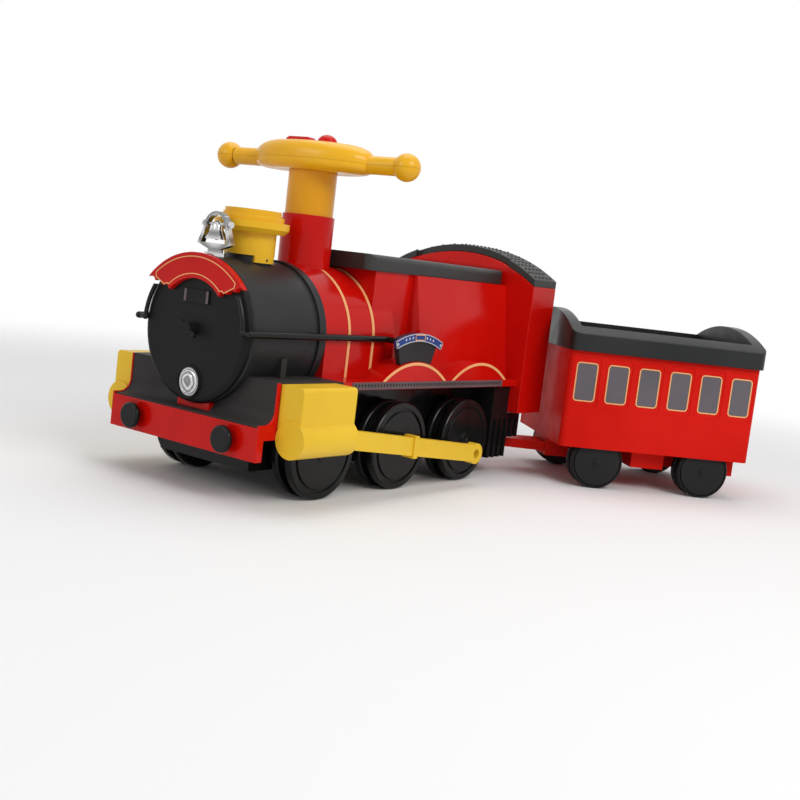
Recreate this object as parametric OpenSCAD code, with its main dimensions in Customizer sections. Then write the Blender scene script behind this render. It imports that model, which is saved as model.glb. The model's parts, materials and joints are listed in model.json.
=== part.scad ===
/* [Pose] */
// Swing of the carriage at the coupling, towards the train's left
car_swing = 44.5; // [0:0.5:45]
// Turn of the handlebar from straight ahead, towards the left
bar_turn = 7; // [-20:1:20]

/* [Locomotive wheels] */
// Diameter of a locomotive wheel
wheel_d = 128; // [118:1:134]
// Width of a locomotive wheel over both rims
wheel_w = 36; // [32:1:38]
// Distance of a wheel's outer face inside the footplate's edge
wheel_inset = 8; // [4:1:12]
// Distance from one axle to the next
axle_pitch = 170; // [155:1:180]
// Diameter of the locomotive axles
axle_d = 10; // [8:0.5:12]

/* [Chassis] */
// Gap between the chassis tray and a wheel's inner face
wheel_gap = 10; // [8:1:14]
// Thickness of the tray's walls and floor
chassis_wall = 4; // [3:0.5:5]
// Height of the tray above the ground
ground_gap = 36; // [32:1:38]

/* [Footplate] */
// Width of the footplate
foot_w = 276; // [272:1:284]
// Height of the footplate's underside
foot_z = 149; // [144:1:156]
// Depth of the footplate's edge
foot_t = 11; // [8:1:14]

/* [Boiler and tank] */
// Radius of the boiler
boiler_r = 99; // [95:1:103]
// Height of the boiler's axis
boiler_z = 210; // [206:1:216]
// Front of the boiler, measured from the middle axle
boiler_front = -154; // [-160:1:-150]
// Length of the boiler
boiler_len = 150; // [140:1:160]
// Width of the waist between boiler and tank
waist_w = 174; // [160:1:180]
// Front of the tank under the seat, measured from the middle axle
tank_front = 40; // [30:1:50]
// Lean of the tank's sides, from the footplate up to the seat
tank_lean = 21; // [16:1:22]
// Ledge of the footplate beside the tank
tank_ledge = 22; // [16:1:28]
// Wall of the moulded shells
shell_t = 4; // [3:0.5:5]

/* [Cab] */
// Front of the cab, measured from the middle axle
cab_front = 289; // [284:1:300]
// Length of the cab
cab_len = 72; // [60:1:76]
// Overhang of the cab's sides past the footplate
cab_overhang = 10; // [4:1:12]
// Height of the cab's lower edge
cab_bottom = 105; // [98:1:112]
// Height of the cab's sides
cab_side_top = 313; // [302:1:320]
// Rise of the backrest's arch above the sides
cab_rise = 45; // [36:1:52]
// Thickness of the backrest cap
cap_t = 12; // [10:1:16]

/* [Seat] */
// Width of the seat
seat_w = 184; // [170:1:186]
// Thickness of the seat
seat_t = 23; // [18:1:28]

/* [Smokebox] */
// Length of the smokebox barrel
smokebox_len = 136; // [130:1:142]
// Radius of the smokebox barrel
smokebox_r = 96; // [93:1:98]
// Thickness of the smokebox door
door_t = 10; // [8:1:14]

/* [Front end] */
// Distance of the buffer beam's face ahead of the smokebox
beam_lead = 18; // [16:1:24]
// Height of the buffer beam's lower edge
beam_bottom = 61; // [56:1:66]
// Height of the buffer beam's upper edge
beam_top = 104; // [100:1:108]
// Diameter of a buffer head
buffer_d = 35; // [30:1:40]
// Spacing of the buffers
buffer_pitch = 173; // [160:1:186]
// Radius of the hollow curve in the front deck
deck_curve_r = 18; // [14:1:22]

/* [Cylinders] */
// Length of a cylinder
cyl_len = 104; // [96:1:110]
// Width of a cylinder box
cyl_w = 38; // [34:1:42]
// Radius of the cylinder's round lower part
cyl_bulge_r = 24; // [20:1:26]
// Height of the round part's axis
cyl_bulge_z = 92; // [88:1:96]
// Height of the rod's eye
rod_eye_z = 51; // [46:1:56]
// Thickness of the rod
rod_t = 14; // [10:1:16]

/* [Steering] */
// Diameter of the column tube
column_d = 74; // [70:1:80]
// Height of the column tube's top
column_top = 376; // [368:1:384]
// Height of the handlebar's axis
bar_z = 452; // [446:1:462]
// Distance between the handlebar's ball ends
bar_span = 300; // [280:1:320]
// Diameter of the handlebar's grips
grip_d = 25; // [22:1:28]
// Diameter of the handlebar's ball ends
ball_d = 38; // [34:1:42]
// Travel of the handlebar's buttons
button_travel = 3; // [2:0.5:4]

/* [Chimney and bell] */
// Height of the chimney's top
chimney_top = 372; // [364:1:382]
// Diameter of the chimney's cornice
chimney_cornice_d = 100; // [92:1:106]
// Diameter of the bell's mouth
bell_d = 30; // [26:1:32]
// Height of the bell's pivot
bell_z = 347; // [345:1:350]

/* [Coupling] */
// Distance of the coupling pin ahead of the cab
hitch_lead = 33; // [28:1:38]
// Diameter of the coupling pin
hitch_d = 10; // [8:0.5:12]
// Height of the drawbar's underside
drawbar_z = 40; // [38:1:42]
// Thickness of the drawbar
drawbar_t = 15; // [12:1:16]

/* [Carriage] */
// Distance of the carriage body behind the coupling pin
car_front = 190; // [188:1:210]
// Length of the carriage body
car_len = 325; // [300:1:350]
// Width of the carriage body
car_w = 260; // [256:1:270]
// Height of the body's lower edge
car_bottom = 66; // [62:1:70]
// Height of the body's upper edge, under the rim
car_top = 222; // [212:1:232]
// Wall of the carriage tub
car_wall = 6; // [4:0.5:7]
// Height of the tub floor's underside
car_floor = 92; // [90:1:98]
// Diameter of a carriage wheel
car_wheel_d = 86; // [80:1:88]
// Width of a carriage wheel over both rims
car_wheel_w = 34; // [28:1:36]
// Width over the outer faces of a pair of carriage wheels
car_wheels_over = 244; // [236:1:245]
// First carriage axle, measured from the body's front
car_axle_lead = 70; // [62:1:78]
// Second carriage axle, measured from the body's back
car_axle_tail = 72; // [64:1:85]
// Diameter of the carriage axles
car_axle_d = 8; // [6:0.5:9]
// Depth of the rim's outer face
rim_h = 28; // [22:1:34]
// Overhang of the rim past the body
rim_over = 8; // [6:1:10]
// Rise of the rim's end arches above its outer edge
rim_rise = 34; // [24:1:40]

/* [Windows] */
// Windows on each side
window_count = 6; // [4:1:6]
// Width of a window pane
window_w = 32; // [26:1:34]
// Height of a window pane
window_h = 59; // [50:1:62]
// Distance from one window to the next
window_pitch = 53; // [48:1:54]
// Height of the window panes' lower edge
window_z = 143; // [140:1:146]

/* [Hidden] */

$fn = 64;
// Smoothness of shapes that are blended from others
blend_fn = 56;
// Overrun of every cut
over = 1;
// Radial clearance of a shaft that turns in its bore
run_gap = 0.05;
// Clearance of a round piece in its seat
seat_gap = 0.1;
// Clearance between pieces that move past each other
move_gap = 0.3;

// Colours
red = [0.78, 0.07, 0.03];
yellow = [0.94, 0.74, 0.14];
black = [0.08, 0.08, 0.08];
charcoal = [0.16, 0.16, 0.17];
deck_grey = [0.24, 0.23, 0.23];
gold = [0.96, 0.72, 0.40];
chrome = [0.80, 0.81, 0.83];
steel = [0.62, 0.63, 0.65];
blue = [0.08, 0.22, 0.60];
pane_grey = [0.41, 0.41, 0.44];

// Widths that follow from the footplate
wheels_over = foot_w - 2 * wheel_inset;
chassis_w = wheels_over - 2 * wheel_w - 2 * wheel_gap;
tank_foot_w = foot_w - 2 * tank_ledge;
tank_top_w = tank_foot_w - 2 * tank_lean;
cab_w = foot_w + 2 * cab_overhang;
beam_w = foot_w;

// Heights and stations along the locomotive
axle_z = wheel_d / 2;
front_axle_y = -axle_pitch;
rear_axle_y = axle_pitch;
foot_top = foot_z + foot_t;
tank_top_step = 1;
tank_top = boiler_z + boiler_r + tank_top_step;
seat_top = tank_top + seat_t;
boiler_back = boiler_front + boiler_len;
smokebox_front = boiler_front - smokebox_len;
door_front = smokebox_front - door_t;
beam_t = 12;
beam_front = smokebox_front - beam_lead;
hitch_y = cab_front - hitch_lead;

// Wheels
wheel_rim_w = 12;
wheel_drum_depth = 12;
wheel_edge = 2;
wheel_web = 6;
wheel_boss_r = 16;
wheel_side_play = 0.8;
wheel_ring_r = 50;
wheel_ring_w = 4;
wheel_ring_depth = 3;
hub_dot_r = 12;
hub_dot_t = 2;
axle_end_wall = 6;

// Bushes
bush_wall = 4;
bush_flange_w = 3;
bush_flange_t = 3;

// Chassis tail, lugs and screws
front_depth = 46;
chassis_front = beam_front + front_depth;
tail_clear = 18;
tail_y = hitch_y - tail_clear;
tail_drop_gap = 3;
tail_z = drawbar_z + drawbar_t + tail_drop_gap;
pod_w = 44;
pod_wheel_gap = 8;
pod_bottom = 30;
pod_step_z = 62;
pod_foot_reach = 7;
pod_reach = 41;
pod_rib_w = 8;
pod_rib_depth = 4;
lug_size = 12;
lug_t = 8;
screw_first = -100;
screw_pitch = 140;
screw_r = 2;
screw_head_r = 4;
screw_head_t = 3;
screw_bite = 6;

// Footplate opening
foot_opening_w = 120;
foot_opening_front = -140;
foot_opening_back = 20;

// Rivet strip
strip_t = 1;
strip_drop = 0.5;
strip_h = foot_t - 2 * strip_drop;
strip_front_gap = 18;
strip_back_gap = 44;

// Splashers over the middle and rear wheels
splash_gap = 60;
splash_r = axle_z + splash_gap;
splash_shift = 7;
splash_stations = [splash_shift, rear_axle_y + splash_shift];
line_w = 4;
line_t = 0.8;
line_inset = 1;

// Tank corners and boiler bands
tank_corner_r = 30;
waist_lap = 44;
band_w = 5;
band_t = 1;
band_gap = 0.05;
band_1_setback = 48;
band_2_setback = 101;

// Cab
cab_back_wall = 16;
cab_hollow_w = 190;
cab_hollow_rise = 26;
backrest_lean = 11;
backrest_lip = 2;
arch_steps = 40;

// Seat
seat_edge_r = 9;
seat_corner_r = 16;
seat_rim = 6;
seat_column_gap = 2;
seat_cab_gap = 1;

// Front end
deck_run = 29;
deck_lip = 1.5;
deck_front_gap = 2;
deck_sill = 2;
wing_t = 3;
wing_bottom = 88;
wing_len = 34;
horn_w = 24;
horn_pitch = 124;
horn_inset = 4;
saddle_w = 60;
saddle_len = 20;
saddle_h = 14;
saddle_root_t = 4;
stay_setback = 57;
stay_len = 10;
stay_out = 96;
stay_h = 25;
arc_steps = 10;
buffer_z = (beam_bottom + beam_top) / 2;
buffer_stem_r = 9;
buffer_len = 14;
buffer_head_t = 6;
buffer_edge = 2;

// Smokebox
smokebox_wall = 4;
seam_len = 13;
seam_r = boiler_r;
ring_edge = 3;
door_edge_w = 7;
door_edge_t = 4;
door_rim_step = 1;
door_r = smokebox_r - door_rim_step;

// Fittings on the door
dart_r = 8;
dart_len = 15;
dart_bar_r = 3;
dart_bar_len = 34;
plate_w = 47;
plate_h = 18;
plate_t = 2;
plate_rise = 42;
light_drop = 69;
light_r = 19;
light_ring_w = 3.5;
light_len = 8;
light_proud = 1;
light_floor = 3;
light_dome = 2;
light_lip_w = 3;
light_lip_t = 3;
headboard_t = 8;
headboard_outer_r = 118;
headboard_outer_drop = 20;
headboard_half_w = 88;
headboard_inner_r = 65;
headboard_inner_half_w = 46;
scallop_count = 3;
scallop_depth = 4;

// Side handrails
rail_r = 4.5;
rail_rise = 5.5;
rail_gap = 0.5;
rail_lead = 4;
rail_tuck = 5;
arch_rail_r = 91;
arch_rod_r = 3;
arch_link_r = 2.5;
arch_rail_rise = 50;
rail_x = boiler_r + rail_gap + rail_r;

// Nameplates over the middle splashers
name_outer_r = 136;
name_band = 11.5;
name_half_w = 58;
name_peak_gap = 41;
name_t = 3;
bracket_t = 8;
bracket_foot_half = 35;
bracket_top_half = 54;
bracket_lap = 10;
bracket_x = foot_w / 2 - name_t - bracket_t;
rail_back = splash_shift - bracket_top_half + bracket_x - rail_x - rail_tuck;

// Chimney
chimney_setback = 75;
chimney_top_r = 39.5;
chimney_top_h = 15;
chimney_cornice_h = 15;
chimney_body_r = 34;
chimney_wall = 6;
chimney_dish_r = 30;
chimney_dish_depth = 4;
chimney_lip_step = 2;
chimney_lip_h = 5;
chimney_tab_w = 36;
tab_hole_r = 2;
tab_hole_drop = 5;
plinth_r = 31;
plinth_rise = 6;
plinth_skirt = 9;
chimney_y = smokebox_front + chimney_setback;
plinth_top = boiler_z + smokebox_r + plinth_rise;

// Bell and its arched frame
bell_setback = 13;
bell_drop = 20;
bell_waist_r = 8;
bell_waist_drop = 7;
bell_crown = 4;
bell_wall = 2;
trunnion_r = 2;
trunnion_root = 4;
trunnion_knob_r = 4;
trunnion_knob_t = 3.5;
yoke_half_w = 22;
yoke_bar_w = 4.5;
yoke_shoulder_drop = 6;
yoke_head = 16;
yoke_depth = 8;
yoke_foot_half = 31;
yoke_foot_w = 7;
yoke_foot_edge = 1;
yoke_floor_drop = 25;
yoke_keel_drop = 33;
yoke_post_r = 10;
yoke_base_r = 14;
yoke_base_h = 4;

// Cylinders and rods
cyl_setback = 34;
cyl_top = 159;
cyl_wall = 4;
cyl_edge_r = 6;
cyl_nose = 2;
rod_root_h = 26;
rod_tip_h = 26;
rod_root_z = 89;
rod_eye_setback = 24;
rod_eye_r = 16;
rod_hole_r = 7;
rod_collar_w = 10;
rod_collar_lip = 3;
rod_collar_share = 0.48;

// Column and handlebar
column_setback = 49;
column_y = boiler_front + column_setback;
column_wall = 2.7;
column_depth = 13;
sleeve_r = column_d / 2 - column_wall - move_gap;
sleeve_wall = 3;
sleeve_lap = 26;
column_bottom = tank_top - tank_top_step - column_depth;
bush_h = 12;
shaft_r = 8;
shaft_collar_r = 14;
shaft_collar_t = 4;
shaft_below = 12;
shaft_in_hub = 20;
clip_t = 2.7;
clip_w = 5;
groove_depth = 1;
hub_below = 15;
hub_above = 25;
hub_slice_t = 0.5;
hub_half_w = 50;
hub_half_len = 96;
hub_foot_half_w = 38;
hub_foot_half_len = 72;
hub_top_half_w = 33;
hub_top_half_len = 58;
hub_edge_h = 4;
hub_steps = 6;
well_depth = 17;
sound_x = -26;
sound_w = 38;
sound_len = 22;
button_h = 19;
button_proud = 7;
button_edge = 2;
drive_x = 18;
drive_r = 14;
drive_dome = 11;
drive_rise = 5;
switch_size = 10;

// Inner pieces
battery_w = 70;
battery_len = 100;
battery_h = 95;
battery_y = 110;
battery_post_r = 4;
battery_post_h = 5;
speaker_r = 28;
speaker_h = 12;
speaker_magnet_r = 18;
speaker_magnet_h = 12;
speaker_y = 180;

// Gear drive on the rear axle
gear_module = 1;
gear_teeth = 40;
pinion_teeth = 18;
gear_face = 10;
gear_play = 0.12;
gear_hub_r = 11;
gear_hub_w = 8;
gear_x = -9;
pressure_angle = 20;
flank_steps = 4;
dedendum_share = 1.25;
gear_centres = gear_module * (gear_teeth + pinion_teeth) / 2;
pinion_y = rear_axle_y - gear_centres;
pinion_shaft_r = 3;
pinion_shaft_len = 14;
pinion_shoulder_r = 5;
pinion_shoulder_w = 6;
case_w = 30;
case_front = 20;
case_back = 19;
case_top = 24;
motor_r = 17;
motor_end_gap = 4;

// Coupling
hitch_head_r = 9;
hitch_head_t = 4;
hitch_neck_step = 1;
hitch_boss_r = 9;
hitch_boss_h = 10;
drawbar_eye_r = 15;
drawbar_root_half = 30;
drawbar_neck_half = 12;
drawbar_neck = 40;

// Carriage
car_corner_r = 10;
rim_corner_r = 14;
rim_band = 24;
rim_end_band = 20;
liner_t = 3;
panel_margin_w = 6.5;
panel_margin_h = 11;
panel_depth = 1;
panel_corner = 7;
pocket_margin = 2.6;
pocket_depth = 1;
pane_t = 0.8;
frame_w = 2.2;
frame_fit = 0.2;
window_corner = 4;
window_first = car_front + (car_len - (window_count - 1) * window_pitch - window_w) / 2;
spine_w = 72;
spine_bottom = 34;
spine_wall = 5;
cross_w = 208;
cross_share = 0.58;
cross_bottom = 38;
tail_block_len = 12;
tail_block_gap = 13;
car_axle_z = car_wheel_d / 2;
car_rim_w = 11;
car_drum_depth = 9;
car_ring_r = 38;
car_ring_w = 2;
car_hub_r = 7;
car_boss_r = 12;

// Outline across the train, drawn out along the train
module along_y(start, len) {
    translate([0, start + len, 0]) rotate([90, 0, 0]) linear_extrude(len) children();
}

// Side outline, drawn out across the train about its middle
module along_x(width) {
    rotate([90, 0, 90]) linear_extrude(width, center = true) children();
}

module both_sides() {
    children();
    mirror([1, 0, 0]) children();
}

module block(width, start, len, low, high) {
    translate([-width / 2, start, low]) cube([width, len, high - low]);
}

module rod_x_axis(r, from, len) {
    translate([from, 0, 0]) rotate([0, 90, 0]) cylinder(r = r, h = len);
}

module rod_y_axis(r, from, len) {
    translate([0, from, 0]) rotate([-90, 0, 0]) cylinder(r = r, h = len);
}

module turned_x() {
    rotate([0, 90, 0]) rotate_extrude() children();
}

module turned_y() {
    rotate([-90, 0, 0]) rotate_extrude() children();
}

module ring(outer, inner, h) {
    difference() {
        cylinder(r = outer, h = h);
        translate([0, 0, -over]) cylinder(r = inner, h = h + 2 * over);
    }
}

module rounded_rect(w, h, r) {
    translate([-w / 2 + r, -h / 2]) square([w - 2 * r, h]);
    translate([-w / 2, -h / 2 + r]) square([w, h - 2 * r]);
    for (x = [-1, 1], y = [-1, 1]) translate([x * (w / 2 - r), y * (h / 2 - r)]) circle(r);
}

// Plate with round corners in plan, given by its width and by its stations and heights
module rounded_block(width, start, len, low, high, r) {
    translate([0, start + len / 2, low]) linear_extrude(high - low) rounded_rect(width, len, r);
}

function arc(cx, cy, r, from, to, steps = arc_steps) =
    [for (i = [0:steps]) let (a = from + (to - from) * i / steps) [cx + r * cos(a), cy + r * sin(a)]];

// Outlines of the boiler, tank and cab
module boiler_outline(r, bottom) {
    intersection() {
        translate([0, boiler_z]) circle(r, $fn = 128);
        translate([-r, bottom]) square([2 * r, 2 * r]);
    }
    translate([-r, bottom]) square([2 * r, boiler_z - bottom]);
}

module tank_outline(inset, bottom) {
    top = tank_top - inset;
    polygon([
        [-tank_foot_w / 2 + inset, bottom], [tank_foot_w / 2 - inset, bottom],
        [tank_top_w / 2 - inset, top], [-tank_top_w / 2 + inset, top]
    ]);
}

module tank_plan(inset) {
    r = tank_corner_r - inset;
    half = tank_foot_w / 2 - inset;
    front = tank_front + inset;
    len = cab_front - front - inset;
    translate([-half + r, front]) square([2 * (half - r), len]);
    translate([-half, front + r]) square([2 * half, len - r]);
    for (x = [-1, 1]) translate([x * (half - r), front + r]) circle(r);
}

// Boiler, waist and tank as one solid, drawn in by inset for the space inside
module body_solid(inset) {
    bottom = inset > 0 ? foot_top - over : foot_top;
    along_y(boiler_front + inset, boiler_len - 2 * inset) boiler_outline(boiler_r - inset, bottom);
    block(waist_w - 2 * inset, boiler_back - waist_lap + inset,
        tank_front - boiler_back + 2 * (waist_lap - inset), bottom, tank_top - inset);
    intersection() {
        along_y(tank_front, cab_front - tank_front) tank_outline(inset, bottom);
        translate([0, 0, bottom]) linear_extrude(tank_top - bottom) tank_plan(inset);
    }
}

// Upper half of an oval outline about the middle
function oval(half, low, rise, steps = arch_steps) =
    [for (i = [0:steps]) let (a = 180 * i / steps) [half * cos(a), low + rise * sin(a)]];

cab_arch_r = (cab_w * cab_w / 4 + cab_rise * cab_rise) / (2 * cab_rise);
cab_arch_a = asin(cab_w / 2 / cab_arch_r);

function cab_arch(raise) = arc(0, cab_side_top + raise + cab_rise - cab_arch_r, cab_arch_r,
    90 - cab_arch_a, 90 + cab_arch_a, arch_steps);

module smokebox_space(gap) {
    translate([0, 0, boiler_z]) {
        rod_y_axis(smokebox_r + gap, beam_front - over, boiler_front - beam_front + over);
        rod_y_axis(seam_r + gap, boiler_front - seam_len - gap, seam_len + gap);
    }
}

module at_axles() {
    for (y = [front_axle_y, 0, rear_axle_y]) translate([0, y, axle_z]) children();
}

module at_chassis_screws() {
    for (x = [-1, 1], i = [0:2])
        translate([x * (chassis_w / 2 - chassis_wall - lug_size / 2), screw_first + i * screw_pitch, foot_z])
            children();
}

// Chassis, with a ribbed block on each side behind the rear wheel
module tail_pod() {
    start = rear_axle_y + wheel_d / 2 + pod_wheel_gap;
    foot = cab_front + pod_foot_reach;
    back = cab_front + pod_reach;
    under_cab = cab_bottom - tail_drop_gap;
    translate([chassis_w / 2 + pod_w / 2, 0, 0]) difference() {
        along_x(pod_w) polygon([
            [start, foot_z], [start, pod_bottom], [foot, pod_bottom], [foot, pod_step_z], [back, pod_step_z],
            [back, under_cab], [cab_front, under_cab], [cab_front, foot_z]
        ]);
        for (y = [start + pod_rib_w:2 * pod_rib_w:back - pod_rib_w])
            translate([pod_w / 2 - pod_rib_depth, y, pod_bottom - over])
                cube([pod_rib_depth + over, pod_rib_w, under_cab - pod_rib_w - pod_bottom]);
    }
}

module chassis() {
    top = foot_z;
    color(black) difference() {
        union() {
            difference() {
                along_x(chassis_w) polygon([
                    [chassis_front, top], [chassis_front, ground_gap], [tail_y, ground_gap],
                    [tail_y, tail_z], [cab_front, tail_z], [cab_front, top]
                ]);
                along_x(chassis_w - 2 * chassis_wall) polygon([
                    [chassis_front + chassis_wall, top + over],
                    [chassis_front + chassis_wall, ground_gap + chassis_wall],
                    [tail_y - chassis_wall, ground_gap + chassis_wall],
                    [tail_y - chassis_wall, tail_z + chassis_wall],
                    [cab_front - chassis_wall, tail_z + chassis_wall],
                    [cab_front - chassis_wall, top + over]
                ]);
            }
            both_sides() tail_pod();
            at_chassis_screws() translate([-lug_size / 2, -lug_size / 2, -lug_t])
                cube([lug_size, lug_size, lug_t]);
            translate([0, hitch_y, tail_z]) cylinder(r = hitch_boss_r, h = chassis_wall + hitch_boss_h);
        }
        smokebox_space(move_gap);
        at_axles() rod_x_axis(axle_d / 2 + bush_wall + seat_gap, -chassis_w / 2 - over, chassis_w + 2 * over);
        at_chassis_screws() translate([0, 0, -lug_t - over])
            cylinder(r = screw_r + seat_gap, h = lug_t + 2 * over);
        translate([0, hitch_y, tail_z - over])
            cylinder(r = hitch_neck_r + seat_gap, h = chassis_wall + hitch_boss_h + 2 * over);
    }
}

module flanged_bush(bore_r, wall, flange_w, flange_t, depth) {
    difference() {
        union() {
            rod_x_axis(bore_r + wall, -depth, depth);
            rod_x_axis(bore_r + wall + flange_w, 0, flange_t);
        }
        rod_x_axis(bore_r, -depth - over, depth + flange_t + 2 * over);
    }
}

module axle_bushes() {
    color(steel) at_axles() both_sides() translate([chassis_w / 2, 0, 0])
        flanged_bush(axle_d / 2 + run_gap, bush_wall, bush_flange_w, bush_flange_t, chassis_wall);
}

module chassis_screws() {
    color(steel) at_chassis_screws() {
        translate([0, 0, -lug_t]) cylinder(r = screw_r, h = lug_t + screw_bite);
        translate([0, 0, -lug_t - screw_head_t]) cylinder(r = screw_head_r, h = screw_head_t);
    }
}

// Footplate and its rivet strips
module footplate() {
    color(red) difference() {
        block(foot_w, boiler_front, cab_front - boiler_front, foot_z, foot_top);
        block(foot_opening_w, foot_opening_front, foot_opening_back - foot_opening_front, foot_z - over,
            foot_top + over);
        at_chassis_screws() translate([0, 0, -over])
            cylinder(r = screw_r + seat_gap, h = screw_bite + 2 * over);
    }
}

module rivet_strips() {
    start = boiler_front + strip_front_gap;
    color([0.42, 0.36, 0.38]) both_sides()
        translate([foot_w / 2, start, foot_top - strip_drop - strip_h])
            cube([strip_t, cab_front - strip_back_gap - start, strip_h]);
}

// Boiler, waist, tank and splashers in one moulding
module splashers() {
    both_sides() for (y = splash_stations) intersection() {
        translate([0, y, axle_z]) rod_x_axis(splash_r, waist_w / 2 - over, foot_w / 2 - waist_w / 2 + over);
        block(foot_w, y - splash_r, 2 * splash_r, foot_top, splash_r + axle_z + over);
    }
}

module tank_body() {
    color(red) difference() {
        union() {
            body_solid(0);
            splashers();
        }
        body_solid(shell_t);
        translate([0, column_y, boiler_z]) cylinder(r = column_d / 2 + seat_gap, h = 2 * boiler_r);
    }
}

// Gold lines: two boiler bands and the arcs on the splashers
module gold_lines() {
    color(gold) {
        difference() {
            for (setback = [band_1_setback, band_2_setback])
                along_y(boiler_front + setback - band_w / 2, band_w) difference() {
                    boiler_outline(boiler_r + band_t, foot_top);
                    boiler_outline(boiler_r + band_gap, foot_top - over);
                }
            translate([0, column_y, boiler_z]) cylinder(r = column_d / 2 + move_gap, h = 2 * boiler_r);
            block(seat_w, column_y, cab_front, boiler_z + boiler_r - over, tank_top + seat_t);
            both_sides() translate([0, 0, boiler_z + rail_rise]) translate([rail_x, 0, 0])
                rod_y_axis(rail_r + move_gap, smokebox_front, smokebox_len + boiler_len);
            translate([0, splash_shift, axle_z]) rod_x_axis(splash_r + move_gap, -foot_w / 2, foot_w);
            block(waist_w, boiler_back - waist_lap - move_gap, cab_front, foot_top, seat_top);
        }
        both_sides() for (y = splash_stations) intersection() {
            translate([foot_w / 2, y, axle_z]) rotate([0, 90, 0])
                ring(splash_r - line_inset, splash_r - line_inset - line_w, line_t);
            block(foot_w + 2 * line_t, y - splash_r, 2 * splash_r, foot_top, splash_r + axle_z);
        }
    }
}

// Cab and backrest cap
module cab_body() {
    inner_top = cab_side_top - shell_t;
    color(red) difference() {
        along_y(cab_front, cab_len)
            polygon(concat([[-cab_w / 2, cab_bottom], [cab_w / 2, cab_bottom]], cab_arch(0)));
        block(cab_w - 2 * shell_t, cab_front + cab_back_wall, cab_len - cab_back_wall - shell_t,
            cab_bottom - over, inner_top);
        block(cab_hollow_w, cab_front + cab_back_wall, cab_len - cab_back_wall - shell_t, cab_bottom,
            inner_top + cab_hollow_rise);
        along_x(tank_top_w) polygon([
            [cab_front - over, seat_top + backrest_lip], [cab_front, seat_top + backrest_lip],
            [cab_front + backrest_lean, cab_side_top + cab_rise],
            [cab_front + backrest_lean, seat_top + cab_rise], [cab_front - over, seat_top + cab_rise]
        ]);
    }
}

module backrest_cap() {
    upper = cab_arch(cap_t);
    lower = cab_arch(0);
    color(black) difference() {
        along_y(cab_front, cab_len) polygon(concat(upper, [for (i = [arch_steps:-1:0]) lower[i]]));
        block(tank_top_w, cab_front - over, backrest_lean + over, cab_side_top,
            cab_side_top + cab_rise + cap_t + over);
    }
}

// Seat: a hollow lid that rests on the tank
module seat() {
    front = column_y + column_d / 2 + seat_column_gap;
    len = cab_front - seat_cab_gap - front;
    color(black) difference() {
        intersection() {
            along_y(front, len) {
                translate([-seat_w / 2, tank_top]) square([seat_w, seat_t - seat_edge_r]);
                translate([-seat_w / 2 + seat_edge_r, tank_top]) square([seat_w - 2 * seat_edge_r, seat_t]);
                for (x = [-1, 1]) translate([x * (seat_w / 2 - seat_edge_r), seat_top - seat_edge_r])
                    circle(seat_edge_r);
            }
            translate([0, front + len / 2, tank_top]) linear_extrude(seat_t)
                rounded_rect(seat_w, len, seat_corner_r);
        }
        block(seat_w - 2 * seat_edge_r - 2 * seat_rim, front + seat_corner_r, len - 2 * seat_corner_r,
            tank_top - over, seat_top - seat_rim);
    }
}

// Front end
deck_arc_y = beam_front + deck_run - deck_curve_r;
deck_floor = beam_top + deck_sill;
deck_arc_z = deck_floor + deck_curve_r;

module saddle() {
    difference() {
        block(saddle_w, smokebox_front, saddle_len, beam_top - saddle_root_t, beam_top + saddle_h);
        smokebox_space(seat_gap);
    }
    block(saddle_w, beam_front + beam_t / 2, smokebox_front + saddle_len - beam_front - beam_t / 2,
        beam_top - saddle_root_t, beam_top);
}

module front_frame() {
    curve = arc(deck_arc_y, deck_arc_z, deck_curve_r - deck_lip, -90, 0);
    color(red) {
        difference() {
            union() {
                block(beam_w, beam_front, beam_t, beam_bottom, beam_top);
                both_sides() translate([beam_w / 2 - wing_t / 2, 0, 0]) along_x(wing_t)
                    polygon(concat([[beam_front, wing_bottom], [beam_front, deck_floor + deck_lip]], curve, [
                        [beam_front + deck_run - deck_lip, foot_top], [beam_front + wing_len, foot_top],
                        [beam_front + wing_len, wing_bottom]
                    ]));
                both_sides() translate([horn_pitch / 2, 0, 0])
                    block(horn_w, beam_front + beam_t, front_depth - beam_t, beam_bottom + horn_inset,
                        beam_top - horn_inset);
                saddle();
            }
            smokebox_space(seat_gap);
        }
    }
}

module front_deck() {
    curve = arc(deck_arc_y, deck_arc_z, deck_curve_r, -90, 0);
    step_back = beam_front + front_depth;
    color(deck_grey) difference() {
        union() {
            along_x(beam_w - 2 * wing_t) polygon(concat(
                [[beam_front + deck_front_gap, beam_top], [beam_front + deck_front_gap, deck_floor]], curve,
                [[beam_front + deck_run, foot_top], [step_back, foot_top], [step_back, beam_top]]
            ));
            block(foot_w, beam_front + wing_len, boiler_front - beam_front - wing_len, foot_z, foot_top);
            block(2 * stay_out, smokebox_front + stay_setback, stay_len, foot_z, foot_top + stay_h);
        }
        smokebox_space(seat_gap);
        block(saddle_w, smokebox_front, saddle_len, beam_top - over, beam_top + saddle_h);
    }
}

module buffers() {
    r = buffer_d / 2;
    color(black) both_sides() translate([buffer_pitch / 2, beam_front - buffer_len, buffer_z])
        turned_y() polygon([
            [0, 0], [r - buffer_edge, 0], [r, buffer_edge], [r, buffer_head_t], [buffer_stem_r, buffer_head_t],
            [buffer_stem_r, buffer_len], [0, buffer_len]
        ]);
}

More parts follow.
